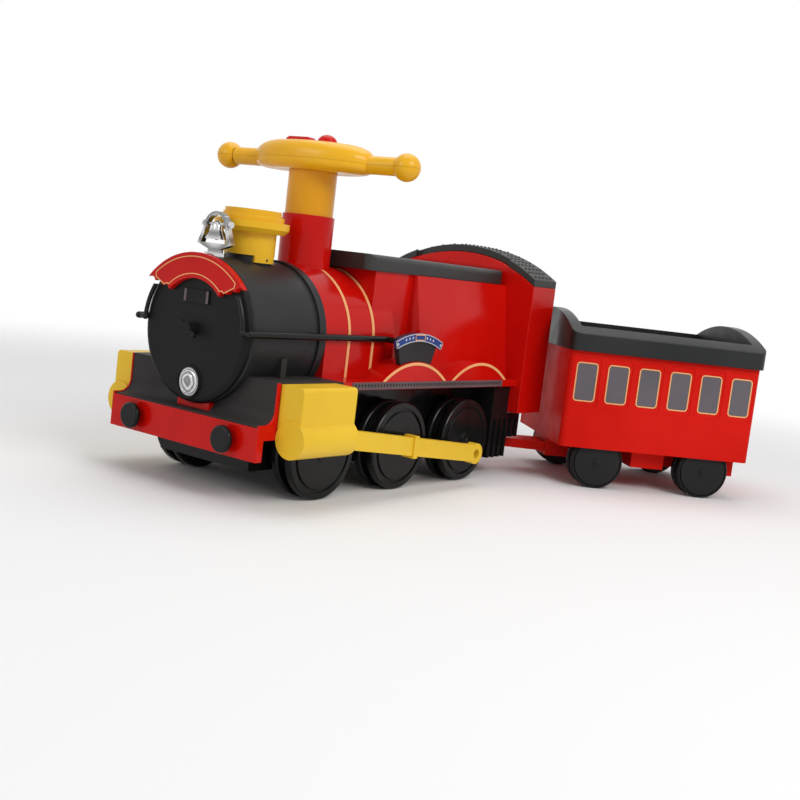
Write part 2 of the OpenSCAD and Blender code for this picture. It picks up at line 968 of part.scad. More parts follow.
// Smokebox
module smokebox_barrel() {
    inner = smokebox_r - smokebox_wall;
    color(charcoal) {
        translate([0, smokebox_front, boiler_z]) turned_y($fn = 128) polygon([
            [inner, 0], [smokebox_r - ring_edge, 0], [smokebox_r, ring_edge],
            [smokebox_r, smokebox_len - seam_len], [seam_r, smokebox_len - seam_len],
            [seam_r, smokebox_len], [inner, smokebox_len]
        ]);
        difference() {
            translate([0, chimney_y, plinth_top - plinth_skirt - plinth_rise])
                cylinder(r = plinth_r, h = plinth_skirt + plinth_rise);
            translate([0, 0, boiler_z])
                rod_y_axis(smokebox_r - smokebox_wall / 2, smokebox_front, smokebox_len, $fn = 128);
        }
    }
}

module at_light() {
    translate([0, door_front, boiler_z - light_drop]) children();
}

module smokebox_door() {
    color(black) difference() {
        union() {
            translate([0, door_front, boiler_z]) turned_y() polygon([
                [0, 0], [door_r - door_edge_w, 0], [door_r, door_edge_t], [door_r, door_t], [0, door_t]
            ]);
            at_light() rod_y_axis(light_r + light_lip_w, -light_lip_t, light_lip_t + door_edge_t);
        }
        at_light() rod_y_axis(light_r + seat_gap, -light_lip_t - over, light_lip_t + light_len - light_proud + over);
    }
}

module door_dart() {
    color(black) translate([0, door_front - dart_len, boiler_z]) {
        rod_y_axis(dart_r, 0, dart_len);
        translate([0, dart_bar_r, 0]) rotate([0, 30, 0])
            rod_x_axis(dart_bar_r, -dart_bar_len / 2, dart_bar_len);
    }
}

module number_plate() {
    color(black) translate([0, door_front - plate_t / 2, boiler_z + plate_rise])
        cube([plate_w, plate_t, plate_h], center = true);
}

module headlight_bezel() {
    color(chrome) at_light() translate([0, -light_proud, 0]) turned_y() polygon([
        [light_r - light_ring_w, 0], [light_r, 0], [light_r, light_len], [0, light_len],
        [0, light_len - light_floor], [light_r - light_ring_w, light_len - light_floor]
    ]);
}

module headlight_lens() {
    r = light_r - light_ring_w - seat_gap;
    depth = light_len - light_floor;
    color(chrome) at_light() translate([0, -light_proud, 0]) turned_y()
        polygon(concat([[0, depth], [r, depth]],
            [for (i = [0:arc_steps]) let (a = 90 * i / arc_steps) [r * cos(a), -light_dome * sin(a)]]));
}

// Row of hollow scallops from one point to another, to the right of the way there
function scallops(a, b) = let (way = b - a, side = [way[1], -way[0]] / norm(way))
    [for (i = [1:scallop_count * arc_steps - 1]) let (t = i / (scallop_count * arc_steps))
        a + way * t + side * scallop_depth * abs(sin(180 * scallop_count * t))];

module headboard() {
    outer_z = boiler_z - headboard_outer_drop;
    outer_a = asin(headboard_half_w / headboard_outer_r);
    inner_a = asin(headboard_inner_half_w / headboard_inner_r);
    outer = arc(0, outer_z, headboard_outer_r, 90 + outer_a, 90 - outer_a, arch_steps);
    inner = arc(0, boiler_z, headboard_inner_r, 90 - inner_a, 90 + inner_a, arch_steps);
    color(red) along_y(door_front - headboard_t, headboard_t) polygon(concat(
        outer, scallops(outer[arch_steps], inner[0]), inner, scallops(inner[arch_steps], outer[0])
    ));
}

// Handrails along the boiler, bent out to the bracket behind and round the door's edge in front
module side_handrails() {
    front = door_front - rail_lead;
    color(black) {
        both_sides() translate([0, 0, boiler_z + rail_rise]) {
            translate([rail_x, 0, 0]) rod_y_axis(rail_r, front, rail_back - front);
            for (y = [front, rail_back]) translate([rail_x, y, 0]) sphere(r = rail_r);
            translate([arch_rail_r, front, 0]) sphere(r = rail_r);
            translate([0, front, 0]) rod_x_axis(arch_link_r, arch_rail_r, rail_x - arch_rail_r);
            translate([0, rail_back, 0]) rod_x_axis(rail_r, rail_x, bracket_x - rail_x);
        }
        intersection() {
            translate([0, front, boiler_z]) turned_y($fn = 128)
                translate([arch_rail_r, 0]) circle(arch_rod_r, $fn = 32);
            block(2 * boiler_r, front - arch_rail_r, 2 * arch_rail_r, boiler_z + rail_rise,
                boiler_z + arch_rail_rise);
        }
    }
}

// Nameplates and the brackets under them
name_z = axle_z + splash_r + name_peak_gap - name_outer_r;

module nameplate_brackets() {
    foot = axle_z + splash_r - bracket_lap;
    peak = name_z + name_outer_r;
    color(charcoal) both_sides() translate([bracket_x + bracket_t / 2, splash_shift, 0]) along_x(bracket_t)
        difference() {
            intersection() {
                translate([0, name_z]) circle(name_outer_r);
                polygon([
                    [-bracket_foot_half, foot], [bracket_foot_half, foot],
                    [bracket_top_half, peak], [-bracket_top_half, peak]
                ]);
            }
            translate([0, axle_z]) circle(splash_r);
        }
}

module nameplates() {
    half_a = asin(name_half_w / name_outer_r);
    color(blue) both_sides() translate([foot_w / 2 - name_t / 2, splash_shift, 0]) along_x(name_t)
        polygon(concat(
            arc(0, name_z, name_outer_r, 90 + half_a, 90 - half_a, arch_steps),
            arc(0, name_z, name_outer_r - name_band, 90 - half_a, 90 + half_a, arch_steps)
        ));
}

// Chimney, held by two screwed tabs that reach down to the barrel
module chimney_tabs() {
    low = plinth_top - plinth_skirt;
    difference() {
        intersection() {
            translate([0, 0, low]) ring(chimney_body_r, plinth_r + seat_gap, plinth_skirt + over);
            block(2 * chimney_body_r, -chimney_tab_w / 2, chimney_tab_w, low, plinth_top + over);
        }
        translate([0, 0, plinth_top - tab_hole_drop])
            rod_x_axis(tab_hole_r, -chimney_body_r - over, 2 * (chimney_body_r + over));
    }
}

module chimney() {
    cornice_top = chimney_top - chimney_top_h;
    cornice_low = cornice_top - chimney_cornice_h;
    roof = chimney_top - chimney_dish_depth - chimney_wall;
    cornice_r = chimney_cornice_d / 2;
    inner = chimney_body_r - chimney_wall;
    color(yellow) difference() {
        translate([0, chimney_y, 0]) {
            rotate_extrude() polygon([
                [inner, plinth_top], [chimney_body_r, plinth_top], [chimney_body_r, cornice_low],
                [cornice_r - chimney_wall, cornice_low], [cornice_r, cornice_low + chimney_wall],
                [cornice_r, cornice_top], [chimney_top_r, cornice_top],
                [chimney_top_r, chimney_top - chimney_lip_h],
                [chimney_top_r - chimney_lip_step, chimney_top - chimney_lip_h],
                [chimney_top_r - chimney_lip_step, chimney_top], [chimney_dish_r, chimney_top],
                [chimney_dish_r, roof + chimney_wall], [0, roof + chimney_wall], [0, roof], [inner, roof]
            ]);
            chimney_tabs();
        }
        smokebox_space(seat_gap);
    }
}

// Bell in an arched frame on a post
bell_y = smokebox_front + bell_setback;

module yoke_outline() {
    floor_z = bell_z - yoke_floor_drop;
    keel_z = bell_z - yoke_keel_drop;
    edge_z = floor_z - yoke_foot_edge;
    shoulder_z = bell_z - yoke_shoulder_drop;
    rise = yoke_head + yoke_shoulder_drop;
    inner_half = yoke_foot_half - yoke_foot_w;
    difference() {
        polygon(concat(
            [[-yoke_foot_half, edge_z], [-yoke_post_r, keel_z]],
            [[yoke_post_r, keel_z], [yoke_foot_half, edge_z]], oval(yoke_half_w, shoulder_z, rise)
        ));
        polygon(concat(
            [[-inner_half, floor_z], [inner_half, floor_z]],
            oval(yoke_half_w - yoke_bar_w, shoulder_z, rise - yoke_bar_w)
        ));
    }
}

module bell_yoke() {
    keel_z = bell_z - yoke_keel_drop;
    reach = yoke_half_w + over;
    color(chrome) difference() {
        union() {
            along_y(bell_y - yoke_depth / 2, yoke_depth) yoke_outline();
            translate([0, bell_y, boiler_z]) cylinder(r = yoke_post_r, h = keel_z + yoke_foot_edge - boiler_z);
            translate([0, bell_y, boiler_z]) cylinder(r = yoke_base_r, h = smokebox_r + yoke_base_h);
        }
        translate([0, bell_y, bell_z]) rod_x_axis(trunnion_r + run_gap, -reach, 2 * reach);
        smokebox_space(seat_gap);
    }
}

module bell() {
    r = bell_d / 2;
    low = -bell_drop;
    waist = -bell_waist_drop;
    crown = [for (i = [0:arc_steps]) let (a = 90 * i / arc_steps)
        [bell_waist_r * cos(a), waist + (bell_crown - waist) * sin(a)]];
    hollow = [for (i = [arc_steps:-1:0]) let (a = 90 * i / arc_steps)
        [(bell_waist_r - bell_wall) * cos(a), waist + (bell_crown - bell_wall - waist) * sin(a)]];
    reach = yoke_half_w + move_gap;
    color(chrome) translate([0, bell_y, bell_z]) {
        rotate_extrude() polygon(concat(
            [[r, low], [r - bell_wall, low + 2 * bell_wall]], crown, hollow,
            [[r - 2 * bell_wall, low + 2 * bell_wall], [r - bell_wall, low]]
        ));
        both_sides() {
            rod_x_axis(trunnion_r, trunnion_root, reach - trunnion_root);
            rod_x_axis(trunnion_knob_r, reach, trunnion_knob_t);
        }
    }
}

// Cylinder with its rod, drawn for the left side
module cylinder_and_rod() {
    inner_x = foot_w / 2;
    front = beam_front + cyl_setback;
    back = front + cyl_len;
    cyl_h = cyl_top - cyl_bulge_z;
    centre_x = inner_x + cyl_bulge_r;
    eye_y = rear_axle_y - rod_eye_setback;
    collar_y = back + (eye_y - back) * rod_collar_share;
    collar_z = rod_root_z + (rod_eye_z - rod_root_z) * rod_collar_share;
    collar_h = rod_root_h + (rod_tip_h - rod_root_h) * rod_collar_share + 2 * rod_collar_lip;
    difference() {
        union() {
            along_y(front, cyl_len) translate([inner_x, cyl_bulge_z]) {
                square([cyl_w, cyl_h - cyl_edge_r]);
                square([cyl_w - cyl_edge_r, cyl_h]);
                translate([cyl_w - cyl_edge_r, cyl_h - cyl_edge_r]) circle(cyl_edge_r);
            }
            along_y(front - cyl_nose, cyl_len + cyl_nose)
                translate([centre_x, cyl_bulge_z]) circle(cyl_bulge_r);
        }
        translate([inner_x - over, front + cyl_wall, cyl_bulge_z])
            cube([cyl_w - cyl_wall + over, cyl_len - 2 * cyl_wall, cyl_h - cyl_wall]);
    }
    translate([centre_x, 0, 0]) {
        along_x(rod_t) difference() {
            union() {
                polygon([
                    [back, rod_root_z + rod_root_h / 2], [eye_y, rod_eye_z + rod_tip_h / 2],
                    [eye_y, rod_eye_z - rod_tip_h / 2], [back, rod_root_z - rod_root_h / 2]
                ]);
                translate([eye_y, rod_eye_z]) circle(rod_eye_r);
            }
            translate([eye_y, rod_eye_z]) circle(rod_hole_r);
        }
        along_x(rod_t + 2 * rod_collar_lip)
            translate([collar_y - rod_collar_w / 2, collar_z - collar_h / 2]) square([rod_collar_w, collar_h]);
    }
}

module left_cylinder() {
    color(yellow) cylinder_and_rod();
}

module right_cylinder() {
    color(yellow) mirror([1, 0, 0]) cylinder_and_rod();
}

// Column and handlebar
module column_tube() {
    color(red) translate([0, column_y, column_bottom])
        ring(column_d / 2, column_d / 2 - column_wall, column_top - column_bottom);
}

module column_bush() {
    color(black) translate([0, column_y, column_bottom])
        ring(column_d / 2 - column_wall - seat_gap, shaft_r + run_gap, bush_h);
}

module at_bar() {
    translate([0, column_y, 0]) rotate([0, 0, bar_turn]) children();
}

hub_low = bar_z - hub_below;
hub_top = bar_z + hub_above;
well_low = hub_top - well_depth;

// Slices of the hub between an end's outline and its full outline, bowed like a quarter of an oval
module hub_slices(end_len, end_w, end_z, full_z) {
    for (i = [0:hub_steps]) let (a = 90 * i / hub_steps)
        translate([0, 0, full_z + (end_z - full_z) * cos(a)]) linear_extrude(hub_slice_t)
            scale([end_len + (hub_half_len - end_len) * sin(a), end_w + (hub_half_w - end_w) * sin(a)])
                circle(1, $fn = blend_fn);
}

module handlebar() {
    half = bar_span / 2;
    color(yellow) at_bar() difference() {
        union() {
            hull() {
                hub_slices(hub_foot_half_len, hub_foot_half_w, hub_low, bar_z - hub_edge_h);
                hub_slices(hub_top_half_len, hub_top_half_w, hub_top - hub_slice_t, bar_z + hub_edge_h);
            }
            translate([0, 0, bar_z]) rod_x_axis(grip_d / 2, -half, 2 * half);
            for (x = [-half, half]) translate([x, 0, bar_z]) sphere(d = ball_d);
        }
        translate([0, 0, hub_low - over]) cylinder(r = shaft_r + seat_gap, h = shaft_in_hub + over);
        translate([sound_x - sound_w / 2 - move_gap, -sound_len / 2 - move_gap, well_low])
            cube([sound_w + 2 * move_gap, sound_len + 2 * move_gap, well_depth + over]);
        translate([drive_x, 0, well_low]) cylinder(r = drive_r + move_gap, h = well_depth + over);
    }
}

module column_sleeve() {
    low = column_top - sleeve_lap;
    color(yellow) at_bar() translate([0, 0, low]) ring(sleeve_r, sleeve_r - sleeve_wall, hub_low - low);
}

module steering_shaft() {
    collar_z = column_bottom + bush_h + move_gap;
    clip_z = column_bottom - move_gap - clip_t;
    color(steel) at_bar() difference() {
        union() {
            translate([0, 0, column_bottom - shaft_below])
                cylinder(r = shaft_r, h = hub_low + shaft_in_hub - seat_gap - column_bottom + shaft_below);
            translate([0, 0, collar_z]) cylinder(r = shaft_collar_r, h = shaft_collar_t);
        }
        translate([0, 0, clip_z - seat_gap])
            ring(shaft_r + over, shaft_r - groove_depth, clip_t + 2 * seat_gap);
    }
}

module shaft_clip() {
    color(steel) at_bar() translate([0, 0, column_bottom - move_gap - clip_t])
        ring(shaft_r + clip_w, shaft_r - groove_depth + seat_gap, clip_t);
}

module button_switches() {
    h = button_proud + well_depth - button_h - button_travel - move_gap;
    color(black) at_bar() for (x = [sound_x, drive_x])
        translate([x - switch_size / 2, -switch_size / 2, well_low]) cube([switch_size, switch_size, h]);
}

button_top = hub_top + button_proud;

module sound_button() {
    color(red) at_bar() translate([sound_x, 0, button_top - button_h]) {
        linear_extrude(button_h - button_edge) square([sound_w, sound_len], center = true);
        translate([0, 0, button_h - button_edge]) linear_extrude(button_edge)
            square([sound_w - 2 * button_edge, sound_len - 2 * button_edge], center = true);
    }
}

module drive_button() {
    wall = button_h + drive_rise - drive_dome;
    color(red) at_bar() translate([drive_x, 0, button_top - button_h]) rotate_extrude()
        polygon(concat([[0, 0], [drive_r, 0]], [for (i = [0:arc_steps]) let (a = 90 * i / arc_steps)
            [drive_r * cos(a), wall + drive_dome * sin(a)]]));
}

// Pieces inside the shells
module battery() {
    color([0.2, 0.2, 0.22]) translate([0, battery_y, foot_top]) {
        translate([-battery_w / 2, -battery_len / 2, 0]) cube([battery_w, battery_len, battery_h]);
        for (y = [-1, 1]) translate([0, y * battery_len / 4, battery_h])
            cylinder(r = battery_post_r, h = battery_post_h);
    }
}

module speaker() {
    color([0.15, 0.15, 0.16]) translate([0, speaker_y + speaker_r, foot_top]) {
        cylinder(r = speaker_r, h = speaker_h);
        translate([0, 0, speaker_h]) cylinder(r = speaker_magnet_r, h = speaker_magnet_h);
    }
}

// Gear drive
function involute(a) = tan(a) * 180 / PI - a;

module gear_outline(teeth) {
    pitch_r = gear_module * teeth / 2;
    base_r = pitch_r * cos(pressure_angle);
    root_r = pitch_r - dedendum_share * gear_module;
    tip_r = pitch_r + gear_module;
    start_r = max(base_r, root_r);
    half = 90 / teeth - gear_play / pitch_r * 180 / PI / 2 + involute(pressure_angle);
    flank = concat([[root_r, half]], [for (i = [0:flank_steps])
        let (r = start_r + (tip_r - start_r) * i / flank_steps)
        [r, half - involute(acos(min(1, base_r / r)))]]);
    last = len(flank) - 1;
    polygon([for (t = [0:teeth - 1]) each concat(
        [for (p = flank) p[0] * [cos(t * 360 / teeth - p[1]), sin(t * 360 / teeth - p[1])]],
        [for (i = [last:-1:0]) flank[i][0] *
            [cos(t * 360 / teeth + flank[i][1]), sin(t * 360 / teeth + flank[i][1])]]
    )]);
}

module gear_on_x(teeth, turn) {
    rotate([90, 0, 90]) rotate([0, 0, turn]) linear_extrude(gear_face, center = true) gear_outline(teeth);
}

module axle_gear() {
    color([0.85, 0.85, 0.8]) translate([gear_x, rear_axle_y, axle_z]) difference() {
        union() {
            gear_on_x(gear_teeth, 0);
            rod_x_axis(gear_hub_r, -gear_face / 2 - gear_hub_w, gear_hub_w + gear_face / 2);
        }
        rod_x_axis(axle_d / 2 + seat_gap, -gear_face - gear_hub_w, 2 * gear_face + gear_hub_w);
    }
}

case_x = gear_x + gear_face / 2 + pinion_shoulder_w;

module drive_pinion() {
    color([0.85, 0.85, 0.8]) translate([gear_x, pinion_y, axle_z]) {
        gear_on_x(pinion_teeth, 180 / pinion_teeth);
        rod_x_axis(pinion_shoulder_r, 0, gear_face / 2 + pinion_shoulder_w - move_gap);
        rod_x_axis(pinion_shaft_r, 0, gear_face / 2 + pinion_shoulder_w + pinion_shaft_len);
    }
}

module gearbox_case() {
    low = ground_gap + chassis_wall;
    color([0.25, 0.25, 0.27]) difference() {
        translate([case_x, pinion_y - case_front, low])
            cube([case_w, case_front + case_back, axle_z + case_top - low]);
        translate([case_x, pinion_y, axle_z])
            rod_x_axis(pinion_shaft_r + run_gap, -over, pinion_shaft_len + 2 * over);
    }
}

module motor() {
    start = case_x + case_w;
    len = chassis_w / 2 - chassis_wall - motor_end_gap - start;
    color(steel) translate([start, pinion_y, axle_z]) rod_x_axis(motor_r, 0, len);
}

// Wheelsets: a rotating profile with two rims, a drum between them and a hollow inner side
module wheel(d, w, rim, drum, ring_r, ring_w, hub_r, boss_r, boss_len, axle) {
    r = d / 2;
    drum_r = r - drum;
    hollow_r = drum_r - wheel_web;
    difference() {
        turned_x($fn = 96) polygon([
            [0, -boss_len], [boss_r, -boss_len], [boss_r, w - rim], [hollow_r, w - rim], [hollow_r, 0],
            [r - wheel_edge, 0], [r, wheel_edge], [r, rim - wheel_edge], [r - wheel_edge, rim], [drum_r, rim],
            [drum_r, w - rim], [r - wheel_edge, w - rim], [r, w - rim + wheel_edge], [r, w - wheel_edge],
            [r - wheel_edge, w], [ring_r + ring_w, w], [ring_r + ring_w, w - wheel_ring_depth],
            [ring_r, w - wheel_ring_depth], [ring_r, w], [hub_r, w], [hub_r, w + hub_dot_t],
            [0, w + hub_dot_t]
        ]);
        rod_x_axis(axle / 2 + seat_gap, -boss_len - over, boss_len + over + w - axle_end_wall);
    }
}

module wheel_pair() {
    boss = wheels_over / 2 - wheel_w - chassis_w / 2 - bush_flange_t - wheel_side_play;
    color(black) both_sides() translate([wheels_over / 2 - wheel_w, 0, 0])
        wheel(wheel_d, wheel_w, wheel_rim_w, wheel_drum_depth, wheel_ring_r, wheel_ring_w, hub_dot_r,
            wheel_boss_r, boss, axle_d);
}

module axle_bar() {
    len = wheels_over - 2 * axle_end_wall - 2 * seat_gap;
    color(steel) rod_x_axis(axle_d / 2, -len / 2, len);
}

module front_axle() {
    translate([0, front_axle_y, axle_z]) axle_bar();
}

module front_wheels() {
    translate([0, front_axle_y, axle_z]) wheel_pair();
}

module middle_axle() {
    translate([0, 0, axle_z]) axle_bar();
}

module middle_wheels() {
    translate([0, 0, axle_z]) wheel_pair();
}

module rear_axle() {
    translate([0, rear_axle_y, axle_z]) axle_bar();
}

module rear_wheels() {
    translate([0, rear_axle_y, axle_z]) wheel_pair();
}

// Coupling
hitch_neck_r = hitch_d / 2 - hitch_neck_step;

module hitch_pin() {
    head_top = drawbar_z - move_gap;
    color(steel) translate([0, hitch_y, 0]) {
        translate([0, 0, head_top - hitch_head_t]) cylinder(r = hitch_head_r, h = hitch_head_t);
        translate([0, 0, head_top]) cylinder(d = hitch_d, h = tail_z - head_top);
        translate([0, 0, tail_z]) cylinder(r = hitch_neck_r, h = chassis_wall + hitch_boss_h);
    }
}

// Carriage, drawn in its own frame: back from the coupling pin along +Y
module at_carriage() {
    translate([0, hitch_y, 0]) rotate([0, 0, -car_swing]) children();
}

car_back = car_front + car_len;
car_axle_1 = car_front + car_axle_lead;
car_axle_2 = car_back - car_axle_tail;

module at_windows() {
    for (side = [0, 1], i = [0:window_count - 1]) mirror([side, 0, 0])
        translate([car_w / 2, window_first + window_w / 2 + i * window_pitch, window_z + window_h / 2])
            rotate([90, 0, 90]) children();
}

module car_body() {
    inner_w = car_w - 2 * car_wall;
    inner_start = car_front + car_wall;
    inner_len = car_len - 2 * car_wall;
    inner_r = car_corner_r - car_wall;
    color(red) at_carriage() difference() {
        rounded_block(car_w, car_front, car_len, car_bottom, car_top, car_corner_r);
        rounded_block(inner_w, inner_start, inner_len, car_floor + car_wall, car_top + over, inner_r);
        rounded_block(inner_w, inner_start, inner_len, car_bottom - over, car_floor, inner_r);
        at_windows() {
            translate([0, 0, -panel_depth]) linear_extrude(panel_depth + over)
                rounded_rect(window_w + 2 * panel_margin_w, window_h + 2 * panel_margin_h, panel_corner);
            translate([0, 0, -panel_depth - pocket_depth]) linear_extrude(pocket_depth + over) rounded_rect(
                window_w + 2 * pocket_margin, window_h + 2 * pocket_margin, window_corner + pocket_margin);
        }
    }
}

module window_panes() {
    color(pane_grey) at_carriage() at_windows() translate([0, 0, -panel_depth - pocket_depth])
        linear_extrude(pane_t) rounded_rect(window_w, window_h, window_corner);
}

module window_frames() {
    outer_w = window_w + 2 * frame_w;
    outer_h = window_h + 2 * frame_w;
    color(gold) at_carriage() at_windows() translate([0, 0, -panel_depth - pocket_depth])
        linear_extrude(pocket_depth) difference() {
            rounded_rect(outer_w, outer_h, window_corner + frame_w);
            rounded_rect(window_w + 2 * frame_fit, window_h + 2 * frame_fit, window_corner + frame_fit);
        }
}

// Rim with an arched top, and the liner that hangs from it and covers the tub's floor
module car_rim() {
    outer = car_w / 2 + rim_over;
    start = car_front - rim_over / 2;
    len = car_len + rim_over;
    edge = car_top + rim_h;
    rise_r = (outer * outer + rim_rise * rim_rise) / (2 * rim_rise);
    half_a = asin(outer / rise_r);
    tub_w = 2 * (outer - rim_band);
    tub_start = start + rim_end_band;
    tub_len = len - 2 * rim_end_band;
    tub_floor = car_floor + car_wall;
    color(black) at_carriage() difference() {
        union() {
            intersection() {
                along_y(start, len) polygon(concat([[outer, car_top]],
                    arc(0, edge + rim_rise - rise_r, rise_r, 90 - half_a, 90 + half_a, arch_steps),
                    [[-outer, car_top]]));
                rounded_block(2 * outer, start, len, car_top, edge + rim_rise + over, rim_corner_r);
            }
            block(tub_w + 2 * liner_t, tub_start - liner_t, tub_len + 2 * liner_t, tub_floor, car_top + over);
        }
        block(tub_w, tub_start, tub_len, tub_floor + liner_t, edge + rim_rise + over);
    }
}

module drawbar_plan() {
    root = car_front + car_wall;
    circle(drawbar_eye_r);
    polygon([
        [-drawbar_neck_half, 0], [-drawbar_neck_half, drawbar_neck], [-drawbar_root_half, root],
        [drawbar_root_half, root], [drawbar_neck_half, drawbar_neck], [drawbar_neck_half, 0]
    ]);
}

module car_underframe() {
    start = car_front + car_wall;
    tail = car_back - tail_block_gap - tail_block_len;
    cross_len = (car_axle_2 - car_axle_1 - car_wheel_d) * cross_share;
    color(red) at_carriage() difference() {
        union() {
            block(spine_w, start, tail + tail_block_len - start, spine_bottom, car_floor);
            block(cross_w, (car_axle_1 + car_axle_2 - cross_len) / 2, cross_len, cross_bottom, car_floor);
            block(cross_w, tail, tail_block_len, cross_bottom, car_floor);
            translate([0, 0, drawbar_z]) linear_extrude(drawbar_t) drawbar_plan();
        }
        block(spine_w - 2 * spine_wall, start + spine_wall, tail - start - spine_wall,
            spine_bottom + spine_wall, car_floor + over);
        for (y = [car_axle_1, car_axle_2]) translate([0, y, car_axle_z])
            rod_x_axis(car_axle_d / 2 + run_gap, -spine_w / 2 - over, spine_w + 2 * over);
        translate([0, 0, drawbar_z - over]) cylinder(r = hitch_d / 2 + run_gap, h = drawbar_t + 2 * over);
    }
}

module car_wheel_pair(y) {
    boss = car_wheels_over / 2 - car_wheel_w - spine_w / 2 - wheel_side_play;
    color(black) at_carriage() translate([0, y, car_axle_z]) both_sides()
        translate([car_wheels_over / 2 - car_wheel_w, 0, 0])
            wheel(car_wheel_d, car_wheel_w, car_rim_w, car_drum_depth, car_ring_r, car_ring_w, car_hub_r,
                car_boss_r, boss, car_axle_d);
}

module car_axle_bar(y) {
    len = car_wheels_over - 2 * axle_end_wall - 2 * seat_gap;
    color(steel) at_carriage() translate([0, y, car_axle_z]) rod_x_axis(car_axle_d / 2, -len / 2, len);
}

module car_front_axle() {
    car_axle_bar(car_axle_1);
}

module car_front_wheels() {
    car_wheel_pair(car_axle_1);
}

module car_rear_axle() {
    car_axle_bar(car_axle_2);
}

module car_rear_wheels() {
    car_wheel_pair(car_axle_2);
}

chassis();
axle_bushes();
footplate();
rivet_strips();
tank_body();
gold_lines();
cab_body();
backrest_cap();
seat();
front_frame();
front_deck();
buffers();
smokebox_barrel();
smokebox_door();
door_dart();
number_plate();
headboard();
headlight_bezel();
headlight_lens();
side_handrails();
nameplate_brackets();
nameplates();
chimney();
bell_yoke();
left_cylinder();
right_cylinder();
column_tube();
column_bush();
battery();
motor();
gearbox_case();
speaker();
hitch_pin();
chassis_screws();
handlebar();
column_sleeve();
steering_shaft();
shaft_clip();
button_switches();
sound_button();
drive_button();
front_axle();
front_wheels();
middle_axle();
middle_wheels();
rear_axle();
rear_wheels();
axle_gear();
drive_pinion();
bell();
car_body();
car_rim();
window_panes();
window_frames();
car_underframe();
car_front_axle();
car_front_wheels();
car_rear_axle();
car_rear_wheels();
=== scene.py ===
import json
import math
import bpy
import bmesh
from mathutils import Matrix, Vector


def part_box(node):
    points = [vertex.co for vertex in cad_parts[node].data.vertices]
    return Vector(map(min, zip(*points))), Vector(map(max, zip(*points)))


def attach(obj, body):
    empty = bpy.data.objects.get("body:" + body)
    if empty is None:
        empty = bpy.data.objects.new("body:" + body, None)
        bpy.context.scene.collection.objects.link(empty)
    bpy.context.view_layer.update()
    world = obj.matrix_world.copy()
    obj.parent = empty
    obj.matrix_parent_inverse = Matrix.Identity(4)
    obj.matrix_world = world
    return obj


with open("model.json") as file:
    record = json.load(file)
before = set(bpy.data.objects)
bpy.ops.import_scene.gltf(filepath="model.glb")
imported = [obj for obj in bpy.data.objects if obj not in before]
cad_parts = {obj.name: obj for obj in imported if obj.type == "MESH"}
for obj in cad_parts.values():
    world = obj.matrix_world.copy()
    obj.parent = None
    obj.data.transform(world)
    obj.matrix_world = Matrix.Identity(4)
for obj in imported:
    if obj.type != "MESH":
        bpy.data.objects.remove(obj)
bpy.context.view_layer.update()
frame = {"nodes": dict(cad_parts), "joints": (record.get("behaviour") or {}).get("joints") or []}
nodes = frame["nodes"]
joints = {joint["child"]: joint for joint in frame["joints"]}
scene = bpy.context.scene
print("frame loaded,", len(nodes), "nodes")

# camera where the photograph was taken from
photoView = {
    "place": (1.0847, -1.3164, 0.3225),
    "looks": (-0.58706, 0.80225, -0.10839),
    "tilt": 6.862,
    "lens": 51.16,
    "sensor": 36,
    "shift": (-0.0025, -0.0125),
    "clip": (0.05, 60),
}


def placeCamera(look):
    data = bpy.data.cameras.new("photoView")
    data.lens = look["lens"]
    data.sensor_width = look["sensor"]
    data.shift_x, data.shift_y = look["shift"]
    data.clip_start, data.clip_end = look["clip"]
    camera = bpy.data.objects.new("photoView", data)
    scene.collection.objects.link(camera)
    ahead = Vector(look["looks"]).normalized()
    level = ahead.cross(Vector((0, 0, 1))).normalized()
    above = level.cross(ahead)
    tilt = math.radians(look["tilt"])
    right = level * math.cos(tilt) + above * math.sin(tilt)
    up = above * math.cos(tilt) - level * math.sin(tilt)
    turn = Matrix((right, up, -ahead)).transposed().to_4x4()
    camera.matrix_world = Matrix.Translation(look["place"]) @ turn
    scene.camera = camera


placeCamera(photoView)
scene.view_settings.view_transform = "Standard"
print("camera set")

# plain studio: white surroundings, soft boxes, a pale floor that fades out
studio = {
    "ambient": 0.42,
    "boxes": [
        {"name": "sideBox", "place": (2.3, -0.5, 1.9), "aim": (0.0, 0.05, 0.2), "size": (1.5, 1.1),
         "power": 34},
        {"name": "frontBox", "place": (-0.6, -2.6, 1.5), "aim": (0.0, -0.1, 0.2), "size": (1.2, 1.2),
         "power": 13},
        {"name": "topBox", "place": (-0.2, 0.5, 2.6), "aim": (0.1, 0.2, 0.2), "size": (2.0, 2.0),
         "power": 24},
    ],
    "floorColour": (0.9, 0.9, 0.9),
    "floorRough": 0.9,
    "floorShine": 0.1,
    "floorSize": 4.5,
    "fade": (0.9, 2.4),
}


